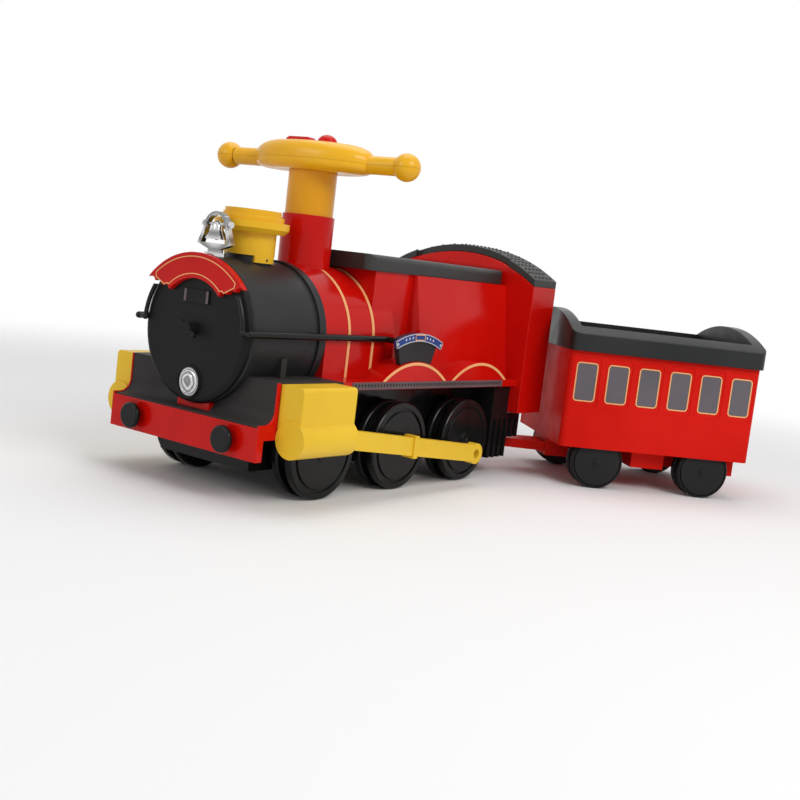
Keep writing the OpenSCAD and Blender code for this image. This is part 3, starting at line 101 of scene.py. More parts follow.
def litWorld(look):
    world = bpy.data.worlds.new("whiteSurround")
    world.use_nodes = True
    scene.world = world
    tree = world.node_tree
    tree.nodes.clear()
    out = tree.nodes.new("ShaderNodeOutputWorld")
    light = tree.nodes.new("ShaderNodeBackground")
    light.inputs["Color"].default_value = (1, 1, 1, 1)
    light.inputs["Strength"].default_value = look["ambient"]
    seen = tree.nodes.new("ShaderNodeBackground")
    seen.inputs["Color"].default_value = (1, 1, 1, 1)
    seen.inputs["Strength"].default_value = 1.0
    path = tree.nodes.new("ShaderNodeLightPath")
    either = tree.nodes.new("ShaderNodeMath")
    either.operation = "MAXIMUM"
    allThree = tree.nodes.new("ShaderNodeMath")
    allThree.operation = "MAXIMUM"
    mix = tree.nodes.new("ShaderNodeMixShader")
    tree.links.new(path.outputs["Is Camera Ray"], either.inputs[0])
    tree.links.new(path.outputs["Is Glossy Ray"], either.inputs[1])
    tree.links.new(either.outputs[0], allThree.inputs[0])
    tree.links.new(path.outputs["Is Transmission Ray"], allThree.inputs[1])
    tree.links.new(allThree.outputs[0], mix.inputs["Fac"])
    tree.links.new(light.outputs[0], mix.inputs[1])
    tree.links.new(seen.outputs[0], mix.inputs[2])
    tree.links.new(mix.outputs[0], out.inputs["Surface"])


def softBox(box):
    data = bpy.data.lights.new(box["name"], "AREA")
    data.shape = "RECTANGLE"
    data.size, data.size_y = box["size"]
    data.energy = box["power"]
    lamp = bpy.data.objects.new(box["name"], data)
    scene.collection.objects.link(lamp)
    way = Vector(box["aim"]) - Vector(box["place"])
    turn = way.to_track_quat("-Z", "Y").to_matrix().to_4x4()
    lamp.matrix_world = Matrix.Translation(box["place"]) @ turn


def paleFloor(look):
    bm = bmesh.new()
    bmesh.ops.create_grid(bm, x_segments=2, y_segments=2, size=look["floorSize"])
    mesh = bpy.data.meshes.new("paleFloor")
    bm.to_mesh(mesh)
    bm.free()
    floor = bpy.data.objects.new("paleFloor", mesh)
    scene.collection.objects.link(floor)
    mat = bpy.data.materials.new("floorPaper")
    mat.use_nodes = True
    tree = mat.node_tree
    paper = tree.nodes["Principled BSDF"]
    paper.inputs["Base Color"].default_value = (*look["floorColour"], 1)
    paper.inputs["Roughness"].default_value = look["floorRough"]
    paper.inputs["Specular IOR Level"].default_value = look["floorShine"]
    coords = tree.nodes.new("ShaderNodeTexCoord")
    reach = tree.nodes.new("ShaderNodeVectorMath")
    reach.operation = "LENGTH"
    fade = tree.nodes.new("ShaderNodeMapRange")
    fade.interpolation_type = "SMOOTHSTEP"
    fade.inputs["From Min"].default_value, fade.inputs["From Max"].default_value = look["fade"]
    clear = tree.nodes.new("ShaderNodeBsdfTransparent")
    mix = tree.nodes.new("ShaderNodeMixShader")
    tree.links.new(coords.outputs["Object"], reach.inputs[0])
    tree.links.new(reach.outputs["Value"], fade.inputs["Value"])
    tree.links.new(fade.outputs["Result"], mix.inputs["Fac"])
    tree.links.new(paper.outputs[0], mix.inputs[1])
    tree.links.new(clear.outputs[0], mix.inputs[2])
    tree.links.new(mix.outputs[0], tree.nodes["Material Output"].inputs["Surface"])
    mesh.materials.append(mat)


litWorld(studio)
for box in studio["boxes"]:
    softBox(box)
paleFloor(studio)
print("studio lit")

# finishes: moulded plastics with cloudy colour, uneven gloss and a fine moulded grain
finishes = {
    "redGloss": {"colour": (0.60, 0.0055, 0.0025), "deep": (0.53, 0.004, 0.002), "rough": (0.12, 0.24),
                 "grain": 260, "depth": 0.05, "shine": 0.16},
    "redCarriage": {"colour": (0.68, 0.014, 0.009), "deep": (0.60, 0.010, 0.006), "rough": (0.34, 0.48),
                    "grain": 240, "depth": 0.05, "shine": 0.03},
    "yellowBar": {"colour": (0.86, 0.45, 0.012), "deep": (0.79, 0.39, 0.009), "rough": (0.18, 0.32),
                  "grain": 320, "depth": 0.06, "shine": 0.28},
    # darker copy of the bar's yellow: painted shade from the hub above the sleeve
    "yellowSleeveShaded": {"colour": (0.80, 0.38, 0.009), "deep": (0.71, 0.31, 0.007), "rough": (0.18, 0.32),
                     "grain": 320, "depth": 0.06, "shine": 0.24},
    "yellowTop": {"colour": (0.87, 0.51, 0.022), "deep": (0.81, 0.45, 0.017), "rough": (0.26, 0.40),
                  "grain": 360, "depth": 0.07, "shine": 0.24},
    "yellowPale": {"colour": (0.85, 0.55, 0.030), "deep": (0.79, 0.49, 0.024), "rough": (0.30, 0.44),
                   "grain": 420, "depth": 0.08, "shine": 0.22},
    "charcoalSatin": {"colour": (0.023, 0.023, 0.025), "deep": (0.016, 0.016, 0.018), "rough": (0.34, 0.48),
                      "grain": 900, "depth": 0.14, "shine": 0.22},
    "blackDoor": {"colour": (0.012, 0.012, 0.012), "deep": (0.009, 0.009, 0.009), "rough": (0.36, 0.50),
                  "grain": 1000, "depth": 0.12, "shine": 0.10},
    "blackSeat": {"colour": (0.021, 0.020, 0.019), "deep": (0.017, 0.0165, 0.0155), "rough": (0.42, 0.50),
                  "grain": 1300, "depth": 0.20, "shine": 0.42},
    "blackGloss": {"colour": (0.009, 0.009, 0.009), "deep": (0.006, 0.006, 0.006), "rough": (0.12, 0.26),
                   "grain": 300, "depth": 0.05, "shine": 0.20},
    "blackRim": {"colour": (0.018, 0.019, 0.019), "deep": (0.012, 0.013, 0.013), "rough": (0.28, 0.42),
                 "grain": 800, "depth": 0.12, "shine": 0.24},
    "wheelMatt": {"colour": (0.017, 0.017, 0.017), "deep": (0.012, 0.012, 0.012), "rough": (0.40, 0.56),
                  "grain": 700, "depth": 0.14, "shine": 0.16},
    "deckGrey": {"colour": (0.036, 0.032, 0.031), "deep": (0.028, 0.025, 0.025), "rough": (0.46, 0.62),
                 "grain": 1100, "depth": 0.20, "shine": 0.16},
    "goldPrint": {"colour": (0.92, 0.47, 0.20), "deep": (0.86, 0.42, 0.17), "rough": (0.28, 0.42),
                  "grain": 700, "depth": 0.05, "shine": 0.25},
    "stripGrey": {"colour": (0.140, 0.098, 0.104), "deep": (0.110, 0.076, 0.082), "rough": (0.36, 0.5),
                  "grain": 900, "depth": 0.08, "shine": 0.25},
    "plated": {"colour": (0.52, 0.52, 0.54), "deep": (0.34, 0.34, 0.37), "rough": (0.05, 0.13),
               "grain": 180, "depth": 0.05, "shine": 0.5, "metal": 1.0},
    "zincSteel": {"colour": (0.50, 0.51, 0.53), "deep": (0.40, 0.41, 0.43), "rough": (0.24, 0.40),
                  "grain": 600, "depth": 0.10, "shine": 0.5, "metal": 1.0},
    "silverPrint": {"colour": (0.60, 0.62, 0.66), "deep": (0.50, 0.52, 0.56), "rough": (0.22, 0.34),
                    "grain": 800, "depth": 0.05, "shine": 0.4, "metal": 0.6},
    "bluePlate": {"colour": (0.010, 0.052, 0.28), "deep": (0.007, 0.036, 0.21), "rough": (0.20, 0.32),
                  "grain": 600, "depth": 0.05, "shine": 0.25},
    "paneGrey": {"colour": (0.125, 0.112, 0.130), "deep": (0.102, 0.092, 0.106), "rough": (0.16, 0.30),
                 "grain": 500, "depth": 0.04, "shine": 0.3},
    "innerBlack": {"colour": (0.026, 0.026, 0.028), "deep": (0.019, 0.019, 0.021), "rough": (0.45, 0.6),
                   "grain": 800, "depth": 0.12, "shine": 0.25},
    "gearWhite": {"colour": (0.72, 0.71, 0.66), "deep": (0.64, 0.63, 0.58), "rough": (0.34, 0.46),
                  "grain": 700, "depth": 0.08, "shine": 0.4},
}


# what the cloud, smear and grain of every finish share
mouldNoise = {"cloud": 7, "cloudDetail": 3, "blend": (0.38, 0.62), "smear": 34, "smearDetail": 5,
              "smearRange": (0.3, 0.7), "grainDetail": 2, "relief": 0.0006}


def moulded(name, look):
    mat = bpy.data.materials.new(name)
    mat.use_nodes = True
    tree = mat.node_tree
    shader = tree.nodes["Principled BSDF"]
    coords = tree.nodes.new("ShaderNodeTexCoord")
    cloud = tree.nodes.new("ShaderNodeTexNoise")
    cloud.inputs["Scale"].default_value = mouldNoise["cloud"]
    cloud.inputs["Detail"].default_value = mouldNoise["cloudDetail"]
    shade = tree.nodes.new("ShaderNodeValToRGB")
    blend = look.get("blend", mouldNoise["blend"])
    for stop, place, colour in zip(shade.color_ramp.elements, blend, (look["deep"], look["colour"])):
        stop.position = place
        stop.color = (*colour, 1)
    smear = tree.nodes.new("ShaderNodeTexNoise")
    smear.inputs["Scale"].default_value = mouldNoise["smear"]
    smear.inputs["Detail"].default_value = mouldNoise["smearDetail"]
    gloss = tree.nodes.new("ShaderNodeMapRange")
    smearLow, smearHigh = mouldNoise["smearRange"]
    gloss.inputs["From Min"].default_value, gloss.inputs["From Max"].default_value = smearLow, smearHigh
    gloss.inputs["To Min"].default_value, gloss.inputs["To Max"].default_value = look["rough"]
    grain = tree.nodes.new("ShaderNodeTexNoise")
    grain.inputs["Scale"].default_value = look["grain"]
    grain.inputs["Detail"].default_value = mouldNoise["grainDetail"]
    bump = tree.nodes.new("ShaderNodeBump")
    bump.inputs["Strength"].default_value = look["depth"]
    bump.inputs["Distance"].default_value = mouldNoise["relief"]
    for noise in (cloud, smear, grain):
        tree.links.new(coords.outputs["Object"], noise.inputs["Vector"])
    tree.links.new(cloud.outputs["Fac"], shade.inputs["Fac"])
    tree.links.new(shade.outputs["Color"], shader.inputs["Base Color"])
    tree.links.new(smear.outputs["Fac"], gloss.inputs["Value"])
    tree.links.new(gloss.outputs["Result"], shader.inputs["Roughness"])
    tree.links.new(grain.outputs["Fac"], bump.inputs["Height"])
    tree.links.new(bump.outputs["Normal"], shader.inputs["Normal"])
    shader.inputs["Specular IOR Level"].default_value = look["shine"]
    shader.inputs["Metallic"].default_value = look.get("metal", 0.0)
    return mat


paint = {name: moulded(name, look) for name, look in finishes.items()}

# lamp with a stepped bright back whose light and dark rings are painted reflections, and a bell whose light
# and dark rings are painted highlights and reflections
lampFront = {"ring": 0.0060, "uneven": 4.2, "steps": 0.5, "dark": 0.26, "bright": 0.70, "rough": (0.06, 0.16),
             "grain": 400, "depth": 0.05, "shine": 0.5, "metal": 0.9}
bellPaintedReflections = {"ring": 0.0170, "uneven": 0.8, "steps": 0.03, "dark": 0.25, "bright": 0.62,
             "rough": (0.08, 0.16), "grain": 400, "depth": 0.05, "shine": 0.5, "metal": 1.0,
             "blend": (0.02, 0.98)}
# a wave texture turns through this many radians per metre at scale 1
ringWave = {"turns": 20, "detail": 2, "detailScale": 1.6, "relief": 0.001}


# the light and dark rings in the base colour are painted reflections; only the bump gives the rings a real
# step
def paintedReflectionRings(name, look, middle):
    mat = moulded(name, {**look, "colour": (look["bright"],) * 3, "deep": (look["dark"],) * 3})
    tree = mat.node_tree
    centred = tree.nodes.new("ShaderNodeMapping")
    centred.inputs["Location"].default_value = -middle
    rings = tree.nodes.new("ShaderNodeTexWave")
    rings.wave_type = "RINGS"
    rings.rings_direction = "SPHERICAL"
    rings.inputs["Scale"].default_value = 2 * math.pi / ringWave["turns"] / look["ring"]
    rings.inputs["Distortion"].default_value = look["uneven"]
    rings.inputs["Detail"].default_value = ringWave["detail"]
    rings.inputs["Detail Scale"].default_value = ringWave["detailScale"]
    steps = tree.nodes.new("ShaderNodeBump")
    steps.inputs["Strength"].default_value = look["steps"]
    steps.inputs["Distance"].default_value = ringWave["relief"]
    tree.links.new(tree.nodes["Texture Coordinate"].outputs["Object"], centred.inputs["Vector"])
    tree.links.new(centred.outputs["Vector"], rings.inputs["Vector"])
    tree.links.new(rings.outputs["Fac"], tree.nodes["Color Ramp"].inputs["Fac"])
    tree.links.new(rings.outputs["Fac"], steps.inputs["Height"])
    tree.links.new(tree.nodes["Bump"].outputs["Normal"], steps.inputs["Normal"])
    tree.links.new(steps.outputs["Normal"], tree.nodes["Principled BSDF"].inputs["Normal"])
    return mat


lensLow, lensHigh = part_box("headlight_lens")
paint["lampPaintedReflections"] = paintedReflectionRings("lampPaintedReflections", lampFront, (lensLow + lensHigh) / 2)
paint["bellPaintedReflections"] = paintedReflectionRings("bellPaintedReflections", bellPaintedReflections, Vector(joints["swinging_bell"]["pos_m"]))

# parting line where the two halves of the bar meet
barSeam = {"height": 0.452, "half": 0.0007, "dark": 0.62}


def addSeam(mat, look):
    tree = mat.node_tree
    parts = tree.nodes.new("ShaderNodeSeparateXYZ")
    apart = tree.nodes.new("ShaderNodeMath")
    apart.operation = "SUBTRACT"
    apart.inputs[1].default_value = look["height"]
    near = tree.nodes.new("ShaderNodeMath")
    near.operation = "ABSOLUTE"
    line = tree.nodes.new("ShaderNodeMapRange")
    line.inputs["From Min"].default_value = 0
    line.inputs["From Max"].default_value = look["half"]
    line.inputs["To Min"].default_value = look["dark"]
    line.inputs["To Max"].default_value = 1
    darken = tree.nodes.new("ShaderNodeVectorMath")
    darken.operation = "SCALE"
    tree.links.new(tree.nodes["Texture Coordinate"].outputs["Object"], parts.inputs["Vector"])
    tree.links.new(parts.outputs["Z"], apart.inputs[0])
    tree.links.new(apart.outputs[0], near.inputs[0])
    tree.links.new(near.outputs[0], line.inputs["Value"])
    tree.links.new(tree.nodes["Color Ramp"].outputs["Color"], darken.inputs["Vector"])
    tree.links.new(line.outputs["Result"], darken.inputs["Scale"])
    tree.links.new(darken.outputs["Vector"], tree.nodes["Principled BSDF"].inputs["Base Color"])


addSeam(paint["yellowBar"], barSeam)
print("finishes mixed:", len(paint))

# which finish each moulding gets, and how far its edges are rounded, in mm
dress = {
    "redGloss": {"footplate": 1.2, "tank_body": 2.0, "cab_body": 2.2, "front_frame": 1.2, "headboard": 0.8,
                 "column_tube": 0.8, "sound_button": 2.4, "drive_button": 0.8},
    "redCarriage": {"car_body": 0.8, "car_underframe": 1.2},
    "yellowBar": {"handlebar": 0},
    # the sleeve's darker yellow is painted shade under the hub
    "yellowSleeveShaded": {"column_sleeve": 0.6},
    "yellowTop": {"chimney": 1.2},
    "yellowPale": {"left_cylinder": 3.2, "right_cylinder": 3.2},
    "charcoalSatin": {"smokebox_barrel": 1.0, "nameplate_brackets": 0.8},
    "blackDoor": {"smokebox_door": 1.2, "door_dart": 0.8, "number_plate": 0.3},
    "blackSeat": {"seat": 0.9, "backrest_cap": 1.4},
    "blackGloss": {"chassis": 0.8, "buffers": 0.8, "front_wheels": 0.7, "middle_wheels": 0.7,
                   "rear_wheels": 0.7, "side_handrails": 0, "column_bush": 0.3},
    "blackRim": {"car_rim": 1.3},
    "wheelMatt": {"car_front_wheels": 0.5, "car_rear_wheels": 0.5},
    "deckGrey": {"front_deck": 1.2},
    "goldPrint": {"gold_lines": 0.15, "window_frames": 0.2},
    "stripGrey": {"rivet_strips": 0.2},
    # bell and yoke: light and dark rings in the colour are painted highlights and reflections
    "bellPaintedReflections": {"bell": 0.4, "bell_yoke": 1.9},
    "plated": {"headlight_bezel": 0.8},
    # lamp: light and dark rings in the colour are painted reflections
    "lampPaintedReflections": {"headlight_lens": 0},
    "zincSteel": {"axle_bushes": 0.3, "hitch_pin": 0.5, "chassis_screws": 0.3, "steering_shaft": 0.4,
                  "shaft_clip": 0.2, "front_axle": 0.5, "middle_axle": 0.5, "rear_axle": 0.5,
                  "car_front_axle": 0.5, "car_rear_axle": 0.5, "motor": 0.8},
    "bluePlate": {"nameplates": 0.4},
    "paneGrey": {"window_panes": 0.15},
    "innerBlack": {"battery": 1.0, "gearbox_case": 0.8, "speaker": 0.6, "button_switches": 0.2},
    "gearWhite": {"axle_gear": 0.15, "drive_pinion": 0.15},
}


# how each mesh is cleaned and its edges rounded, with angles in degrees
rounding = {"crisp": 34, "bevelFrom": 32, "profile": 0.5, "weld": 0.00002, "flat": 0.4, "doubles": 0.000005}


def smoothGroup():
    group = bpy.data.node_groups.new("roundShading", "GeometryNodeTree")
    group.interface.new_socket("Geometry", in_out="INPUT", socket_type="NodeSocketGeometry")
    group.interface.new_socket("Geometry", in_out="OUTPUT", socket_type="NodeSocketGeometry")
    start = group.nodes.new("NodeGroupInput")
    end = group.nodes.new("NodeGroupOutput")
    soft = group.nodes.new("GeometryNodeSetShadeSmooth")
    soft.domain = "FACE"
    crisp = group.nodes.new("GeometryNodeSetShadeSmooth")
    crisp.domain = "EDGE"
    crisp.inputs["Shade Smooth"].default_value = False
    angle = group.nodes.new("GeometryNodeInputMeshEdgeAngle")
    steep = group.nodes.new("FunctionNodeCompare")
    steep.data_type = "FLOAT"
    steep.operation = "GREATER_THAN"
    steep.inputs["B"].default_value = math.radians(rounding["crisp"])
    group.links.new(start.outputs[0], soft.inputs["Geometry"])
    group.links.new(soft.outputs[0], crisp.inputs["Geometry"])
    group.links.new(angle.outputs["Unsigned Angle"], steep.inputs["A"])
    group.links.new(steep.outputs[0], crisp.inputs["Selection"])
    group.links.new(crisp.outputs[0], end.inputs[0])
    return group


roundShading = smoothGroup()


def roundEdges(piece, width, segments=3):
    if width > 0:
        edge = piece.modifiers.new("roundedEdges", "BEVEL")
        edge.width = width / 1000
        edge.segments = segments
        edge.limit_method = "ANGLE"
        edge.angle_limit = math.radians(rounding["bevelFrom"])
        edge.profile = rounding["profile"]
    shading = piece.modifiers.new("roundShading", "NODES")
    shading.node_group = roundShading
    level = piece.modifiers.new("flatNormals", "WEIGHTED_NORMAL")
    level.keep_sharp = True


def dressNode(name, finish, width):
    piece = nodes[name]
    piece.data.materials.clear()
    piece.data.materials.append(paint[finish])
    weld = piece.modifiers.new("weld", "WELD")
    weld.merge_threshold = rounding["weld"]
    flat = piece.modifiers.new("flatFaces", "DECIMATE")
    flat.decimate_type = "DISSOLVE"
    flat.angle_limit = math.radians(rounding["flat"])
    roundEdges(piece, width)


for finish, group in dress.items():
    for name, width in group.items():
        dressNode(name, finish, width)
print("mouldings dressed:", sum(len(group) for group in dress.values()))


# small pieces that the mouldings carry
def addPiece(name, bm, body, finish, width=0, segments=2):
    bmesh.ops.remove_doubles(bm, verts=bm.verts, dist=rounding["doubles"])
    bmesh.ops.recalc_face_normals(bm, faces=bm.faces)
    mesh = bpy.data.meshes.new(name)
    bm.to_mesh(mesh)
    bm.free()
    piece = bpy.data.objects.new(name, mesh)
    scene.collection.objects.link(piece)
    mesh.materials.append(paint[finish])
    roundEdges(piece, width, segments)
    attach(piece, body)


def addBlock(bm, low, high):
    low, high = Vector(low), Vector(high)
    place = Matrix.Translation((low + high) / 2) @ Matrix.Diagonal((high - low).to_4d())
    place[3][3] = 1
    return bmesh.ops.create_cube(bm, size=1, matrix=place)["verts"]


# spins a drawn profile of (radius, height) about a line through centre
def addTurned(bm, profile, centre, axis, steps):
    axis = Vector(axis).normalized()
    side = axis.orthogonal().normalized()
    centre = Vector(centre)
    verts = [bm.verts.new(centre + side * r + axis * h) for r, h in profile]
    edges = [bm.edges.new(pair) for pair in zip(verts, verts[1:])]
    bmesh.ops.spin(bm, geom=verts + edges, cent=centre, axis=axis, dvec=(0, 0, 0), angle=2 * math.pi,
                   steps=steps, use_merge=True, use_duplicate=False)


# flat curved band: an edge swept round centre in a plane, then given its thickness
def addBand(bm, centre, axis, arm, radius, width, angle, thick, steps):
    centre, axis, arm = Vector(centre), Vector(axis).normalized(), Vector(arm).normalized()
    ends = [bm.verts.new(centre + arm * r) for r in (radius - width / 2, radius + width / 2)]
    bm.edges.new(ends)
    bmesh.ops.rotate(bm, verts=ends, cent=centre, matrix=Matrix.Rotation(-angle / 2, 3, axis))
    bmesh.ops.spin(bm, geom=ends + list(ends[0].link_edges), cent=centre, axis=axis, dvec=(0, 0, 0),
                   angle=angle, steps=steps, use_duplicate=False)
    faces = list({f for v in ends for f in v.link_faces})
    grown = set(faces)
    while faces:
        faces = [g for f in faces for e in f.edges for g in e.link_faces if g not in grown]
        faces = list(set(faces))
        grown.update(faces)
    out = bmesh.ops.extrude_face_region(bm, geom=list(grown))["geom"]
    lifted = [v for v in out if isinstance(v, bmesh.types.BMVert)]
    bmesh.ops.translate(bm, verts=lifted, vec=axis * thick)


capStud = {"rise": 0.045, "pitch": 0.0118, "margin": 0.007, "setback": 0.011, "recess": 0.095, "foot": 0.0043,
           "top": 0.0025, "height": 0.0017, "sides": 4, "edge": 0.4}


# raised studs in offset rows over the backrest cap's arched top
def makeCapStuds(look):
    low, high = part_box("backrest_cap")
    half = high.x
    radius = (half * half + look["rise"] ** 2) / (2 * look["rise"])
    centreZ = high.z - radius
    reach = math.asin((half - look["margin"]) / radius)
    columns = int(2 * reach * radius / look["pitch"])
    rows = int((high.y - low.y - 2 * look["margin"]) / look["pitch"]) + 1
    bm = bmesh.new()
    for i in range(columns + 1):
        angle = -reach + 2 * reach * i / columns
        turn = Matrix.Rotation(angle, 4, "Y")
        for j in range(rows):
            y = low.y + look["margin"] + (j + i % 2 / 2) * look["pitch"]
            inRecess = abs(radius * math.sin(angle)) < look["recess"]
            hollow = inRecess and y < low.y + look["margin"] + look["setback"]
            if hollow or y > high.y - look["margin"] / 2:
                continue
            place = Matrix.Translation((0, y, centreZ)) @ turn @ Matrix.Translation((0, 0, radius))
            bmesh.ops.create_cone(bm, cap_ends=True, segments=look["sides"], radius1=look["foot"],
                                  radius2=look["top"], depth=2 * look["height"], matrix=place)
    addPiece("capStuds", bm, "locomotive", "blackSeat", look["edge"], 1)


makeCapStuds(capStud)

rivetRow = {"pitch": 0.007, "width": 0.0029, "height": 0.0042, "proud": 0.0006, "sunk": 0.0004,
            "fromTop": 0.44, "edge": 0.2}


def makeRivetRows(look):
    low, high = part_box("rivet_strips")
    mid = high.z - look["fromTop"] * (high.z - low.z)
    count = int((high.y - low.y) / look["pitch"]) - 1
    bm = bmesh.new()
    for side in (-1, 1):
        face = high.x * side
        for i in range(count):
            y = low.y + (i + 1) * look["pitch"]
            ends = sorted((face - side * look["sunk"], face + side * look["proud"]))
            addBlock(bm, (ends[0], y - look["width"] / 2, mid - look["height"] / 2),
                     (ends[1], y + look["width"] / 2, mid + look["height"] / 2))
    addPiece("rivetRows", bm, "locomotive", "blackRim", look["edge"], 1)


makeRivetRows(rivetRow)

headboardLine = {"inset": 0.0055, "width": 0.0012, "thick": 0.0005, "outerZ": 0.190, "outerR": 0.118,
                 "innerZ": 0.210, "innerR": 0.065, "outerHalf": 0.077, "innerHalf": 0.0505, "notch": 0.0045,
                 "arcSteps": 40, "notchSteps": 8}


# border line of the bare board, with its corners cut in like a ticket
def makeHeadboardLine(look):
    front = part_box("headboard")[0].y
    away = Vector((0, -1, 0))
    bm = bmesh.new()
    corners = []
    for z, radius, half in ((look["outerZ"], look["outerR"] - look["inset"], look["outerHalf"]),
                            (look["innerZ"], look["innerR"] + look["inset"], look["innerHalf"])):
        angle = math.asin(half / radius)
        addBand(bm, (0, front, z), away, (0, 0, 1), radius, look["width"],
                2 * (angle - look["notch"] / radius), look["thick"], look["arcSteps"])
        corner = Vector((half, front, z + radius * math.cos(angle)))
        corners.append((corner, Vector((-math.cos(angle), 0, math.sin(angle)))))
    for side in (-1, 1):
        flip = Vector((side, 1, 1))
        (top, topWay), (foot, footWay) = [(place * flip, way * flip) for place, way in corners]
        down = (foot - top).normalized()
        for place, along, across in ((top, topWay, down), (foot, footWay, -down)):
            addBand(bm, place, away, along + across, look["notch"], look["width"],
                    along.angle(across), look["thick"], look["notchSteps"])
        length = (foot - top).length - 2 * look["notch"]
        deep, wide = look["thick"] / 2, look["width"] / 2
        verts = addBlock(bm, (0, -deep, -wide), (length, deep, wide))
        lean = Matrix.Rotation(-math.atan2(down.z, down.x), 3, "Y")
        bmesh.ops.rotate(bm, verts=verts, cent=(0, 0, 0), matrix=lean)
        bmesh.ops.translate(bm, verts=verts, vec=top + down * look["notch"] + away * look["thick"] / 2)
    addPiece("headboardLine", bm, "locomotive", "goldPrint")


makeHeadboardLine(headboardLine)

plateBar = {"bar": 0.004, "gap": 0.0012, "thick": 0.0006, "sunk": 0.0003, "edge": 0.2}


def makePlateBars(look):
    low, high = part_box("number_plate")
    bm = bmesh.new()
    for side in (-1, 1):
        outer = side * (high.x - look["gap"])
        ends = sorted((outer, outer - side * look["bar"]))
        addBlock(bm, (ends[0], low.y - look["thick"], low.z + look["gap"]),
                 (ends[1], low.y + look["sunk"], high.z - look["gap"]))
    addPiece("plateBars", bm, "locomotive", "stripGrey", look["edge"])


makePlateBars(plateBar)

nameplateTrim = {"outerR": 0.136, "band": 0.0115, "half": 0.058, "edge": 0.0014, "thick": 0.0007,
                 "edgeSteps": 36, "endSteps": 2, "studs": 0.93, "studR": 0.0022, "studSteps": 16,
                 "studShape": ((1, 0), (1, 0.0008), (0.6, 0.0014), (0, 0.0016)),
                 "marks": (0.30, 0.44, 0.58), "markR": 0.0022, "markSteps": 5,
                 "markShape": ((1, 0), (0.5, 0.0005), (0, 0.0006)),
                 "panel": 0.20, "panelEdge": 0.0011, "panelInset": 1.5, "panelSteps": 12}


# border, end studs, small marks and an empty panel; each shape is shares of a radius, with heights
def makeNameplateTrim(look):
    low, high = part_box("nameplates")
    centreZ = high.z - look["outerR"]
    halfA = math.asin(look["half"] / look["outerR"])
    midR = look["outerR"] - look["band"] / 2
    upright = Vector((0, 0, 1))
    inset = look["panelInset"] * look["edge"]
    stud = [(look["studR"] * part, up) for part, up in look["studShape"]]
    mark = [(look["markR"] * part, up) for part, up in look["markShape"]]
    edges, gold, marks = bmesh.new(), bmesh.new(), bmesh.new()
    for side in (-1, 1):
        axis = Vector((side, 0, 0))
        centre = Vector((side * high.x, (low.y + high.y) / 2, centreZ))
        for radius in (look["outerR"] - look["edge"] / 2, look["outerR"] - look["band"] + look["edge"] / 2):
            addBand(edges, centre, axis, upright, radius, look["edge"], 2 * halfA, look["thick"],
                    look["edgeSteps"])
        for turn in (-1, 1):
            arm = Matrix.Rotation(turn * (halfA - look["edge"] / 2 / midR), 3, "X") @ upright
            addBand(edges, centre, axis, arm, midR, look["band"], look["edge"] / midR, look["thick"],
                    look["endSteps"])
            spot = centre + Matrix.Rotation(turn * halfA * look["studs"], 3, "X") @ (upright * midR)
            addTurned(edges, stud, spot, axis, look["studSteps"])
            for share in look["marks"]:
                spot = centre + Matrix.Rotation(turn * halfA * share, 3, "X") @ (upright * midR)
                addTurned(marks, mark, spot, axis, look["markSteps"])
            arm = Matrix.Rotation(turn * halfA * look["panel"], 3, "X") @ upright
            addBand(gold, centre, axis, arm, midR, look["band"] - 2 * inset, look["panelEdge"] / midR,
                    look["thick"], look["endSteps"])
        for radius in (midR - look["band"] / 2 + inset, midR + look["band"] / 2 - inset):
            addBand(gold, centre, axis, upright, radius, look["panelEdge"], 2 * halfA * look["panel"],
                    look["thick"], look["panelSteps"])
    addPiece("nameplateEdges", edges, "locomotive", "silverPrint")
    addPiece("nameplatePanels", gold, "locomotive", "goldPrint")
    addPiece("nameplateMarks", marks, "locomotive", "silverPrint")


makeNameplateTrim(nameplateTrim)

bellClapper = {"rod": 0.0011, "ball": 0.003, "length": 0.019, "hang": 0.003, "joint": 0.9, "rodSteps": 12,
               "ballRings": 8, "ballSteps": 20}


def makeClapper(look):
    low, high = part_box("bell")
    centre = Vector(((low.x + high.x) / 2, (low.y + high.y) / 2, high.z - look["hang"]))
    angles = [i * math.pi / look["ballRings"] for i in range(look["ballRings"] + 1)]
    ball = [(look["ball"] * math.sin(a), -look["length"] - look["ball"] * math.cos(a)) for a in angles]
    rod = [(0, 0), (look["rod"], 0), (look["rod"], -look["length"] + look["ball"] * look["joint"])]
    bm = bmesh.new()
    addTurned(bm, rod, centre, (0, 0, 1), look["rodSteps"])
    addTurned(bm, ball, centre, (0, 0, 1), look["ballSteps"])
    addPiece("bellClapper", bm, "swinging_bell", "zincSteel")


makeClapper(bellClapper)

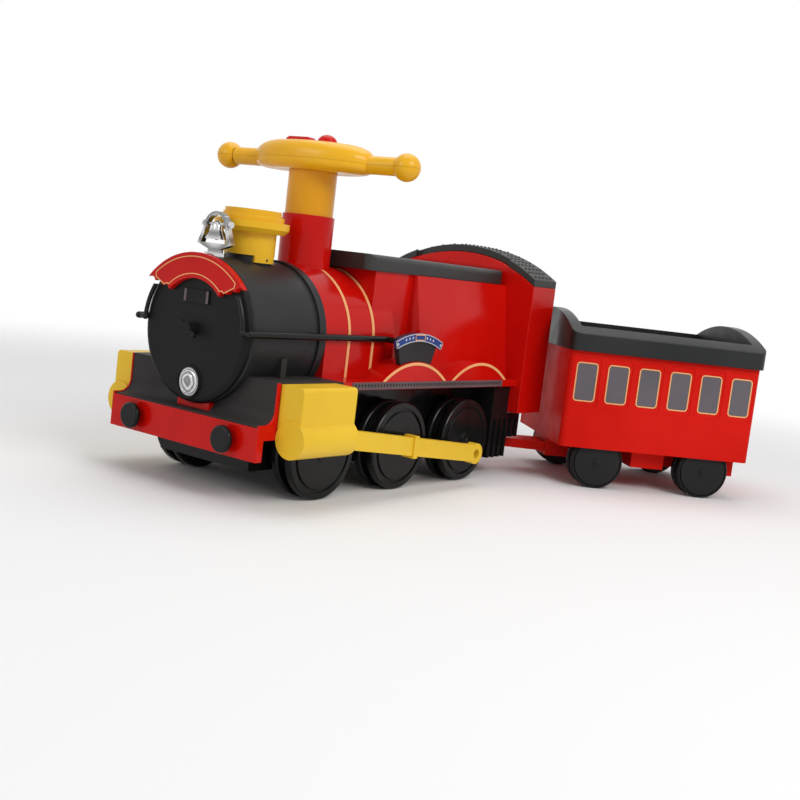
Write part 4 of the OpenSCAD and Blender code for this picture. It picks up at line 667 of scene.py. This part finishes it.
screwHead = {"shape": ((1, 0.45), (0.8, 0.85), (0.5, 1), (0.22, 1), (0.2, 0.35), (0, 0.35)), "steps": 20,
             "sunk": 0.0004}


# domed screw head with a round recess, drawn in shares of its radius and height
def addScrew(bm, spot, axis, look):
    dome = [(look["radius"] * across, look["height"] * up) for across, up in screwHead["shape"]]
    addTurned(bm, [(look["radius"], -screwHead["sunk"])] + dome, spot, axis, screwHead["steps"])


hubScrew = {"radius": 0.0042, "height": 0.0016}


def makeHubScrews(look):
    for name in ("front", "middle", "rear", "car_front", "car_rear"):
        body = name + "_wheelset"
        centre, axis = Vector(joints[body]["pos_m"]), Vector(joints[body]["axis"]).normalized()
        out = max((v.co - centre).dot(axis) for v in nodes[name + "_wheels"].data.vertices)
        bm = bmesh.new()
        for side in (-1, 1):
            addScrew(bm, centre + axis * side * out, axis * side, look)
        addPiece("hubScrews_" + body, bm, body, "wheelMatt")


makeHubScrews(hubScrew)

chimneyScrew = {"radius": 0.0019, "height": 0.0008, "x": 0.0335, "z": 0.307}


def makeChimneyScrews(look):
    low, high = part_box("chimney")
    bm = bmesh.new()
    for side in (-1, 1):
        addScrew(bm, (side * look["x"], (low.y + high.y) / 2, look["z"]), (side, 0, 0), look)
    addPiece("chimneyScrews", bm, "locomotive", "blackRim")


makeChimneyScrews(chimneyScrew)

chimneyStep = {"inner": 0.0388, "outer": 0.0425, "fromTop": 0.015, "sunk": 0.0004, "tall": 0.0075,
               "steps": 56, "edge": 0.8}


# stepped ring under the chimney's lip
def makeChimneyStep(look):
    low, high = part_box("chimney")
    bm = bmesh.new()
    foot = high.z - look["fromTop"] - look["sunk"]
    rim = [(look["inner"], 0), (look["outer"], 0), (look["outer"], look["tall"]),
           (look["inner"], look["tall"])]
    addTurned(bm, rim + rim[:1], (0, (low.y + high.y) / 2, foot), (0, 0, 1), look["steps"])
    addPiece("chimneyStep", bm, "locomotive", "yellowTop", look["edge"])


makeChimneyStep(chimneyStep)
print("small pieces added")
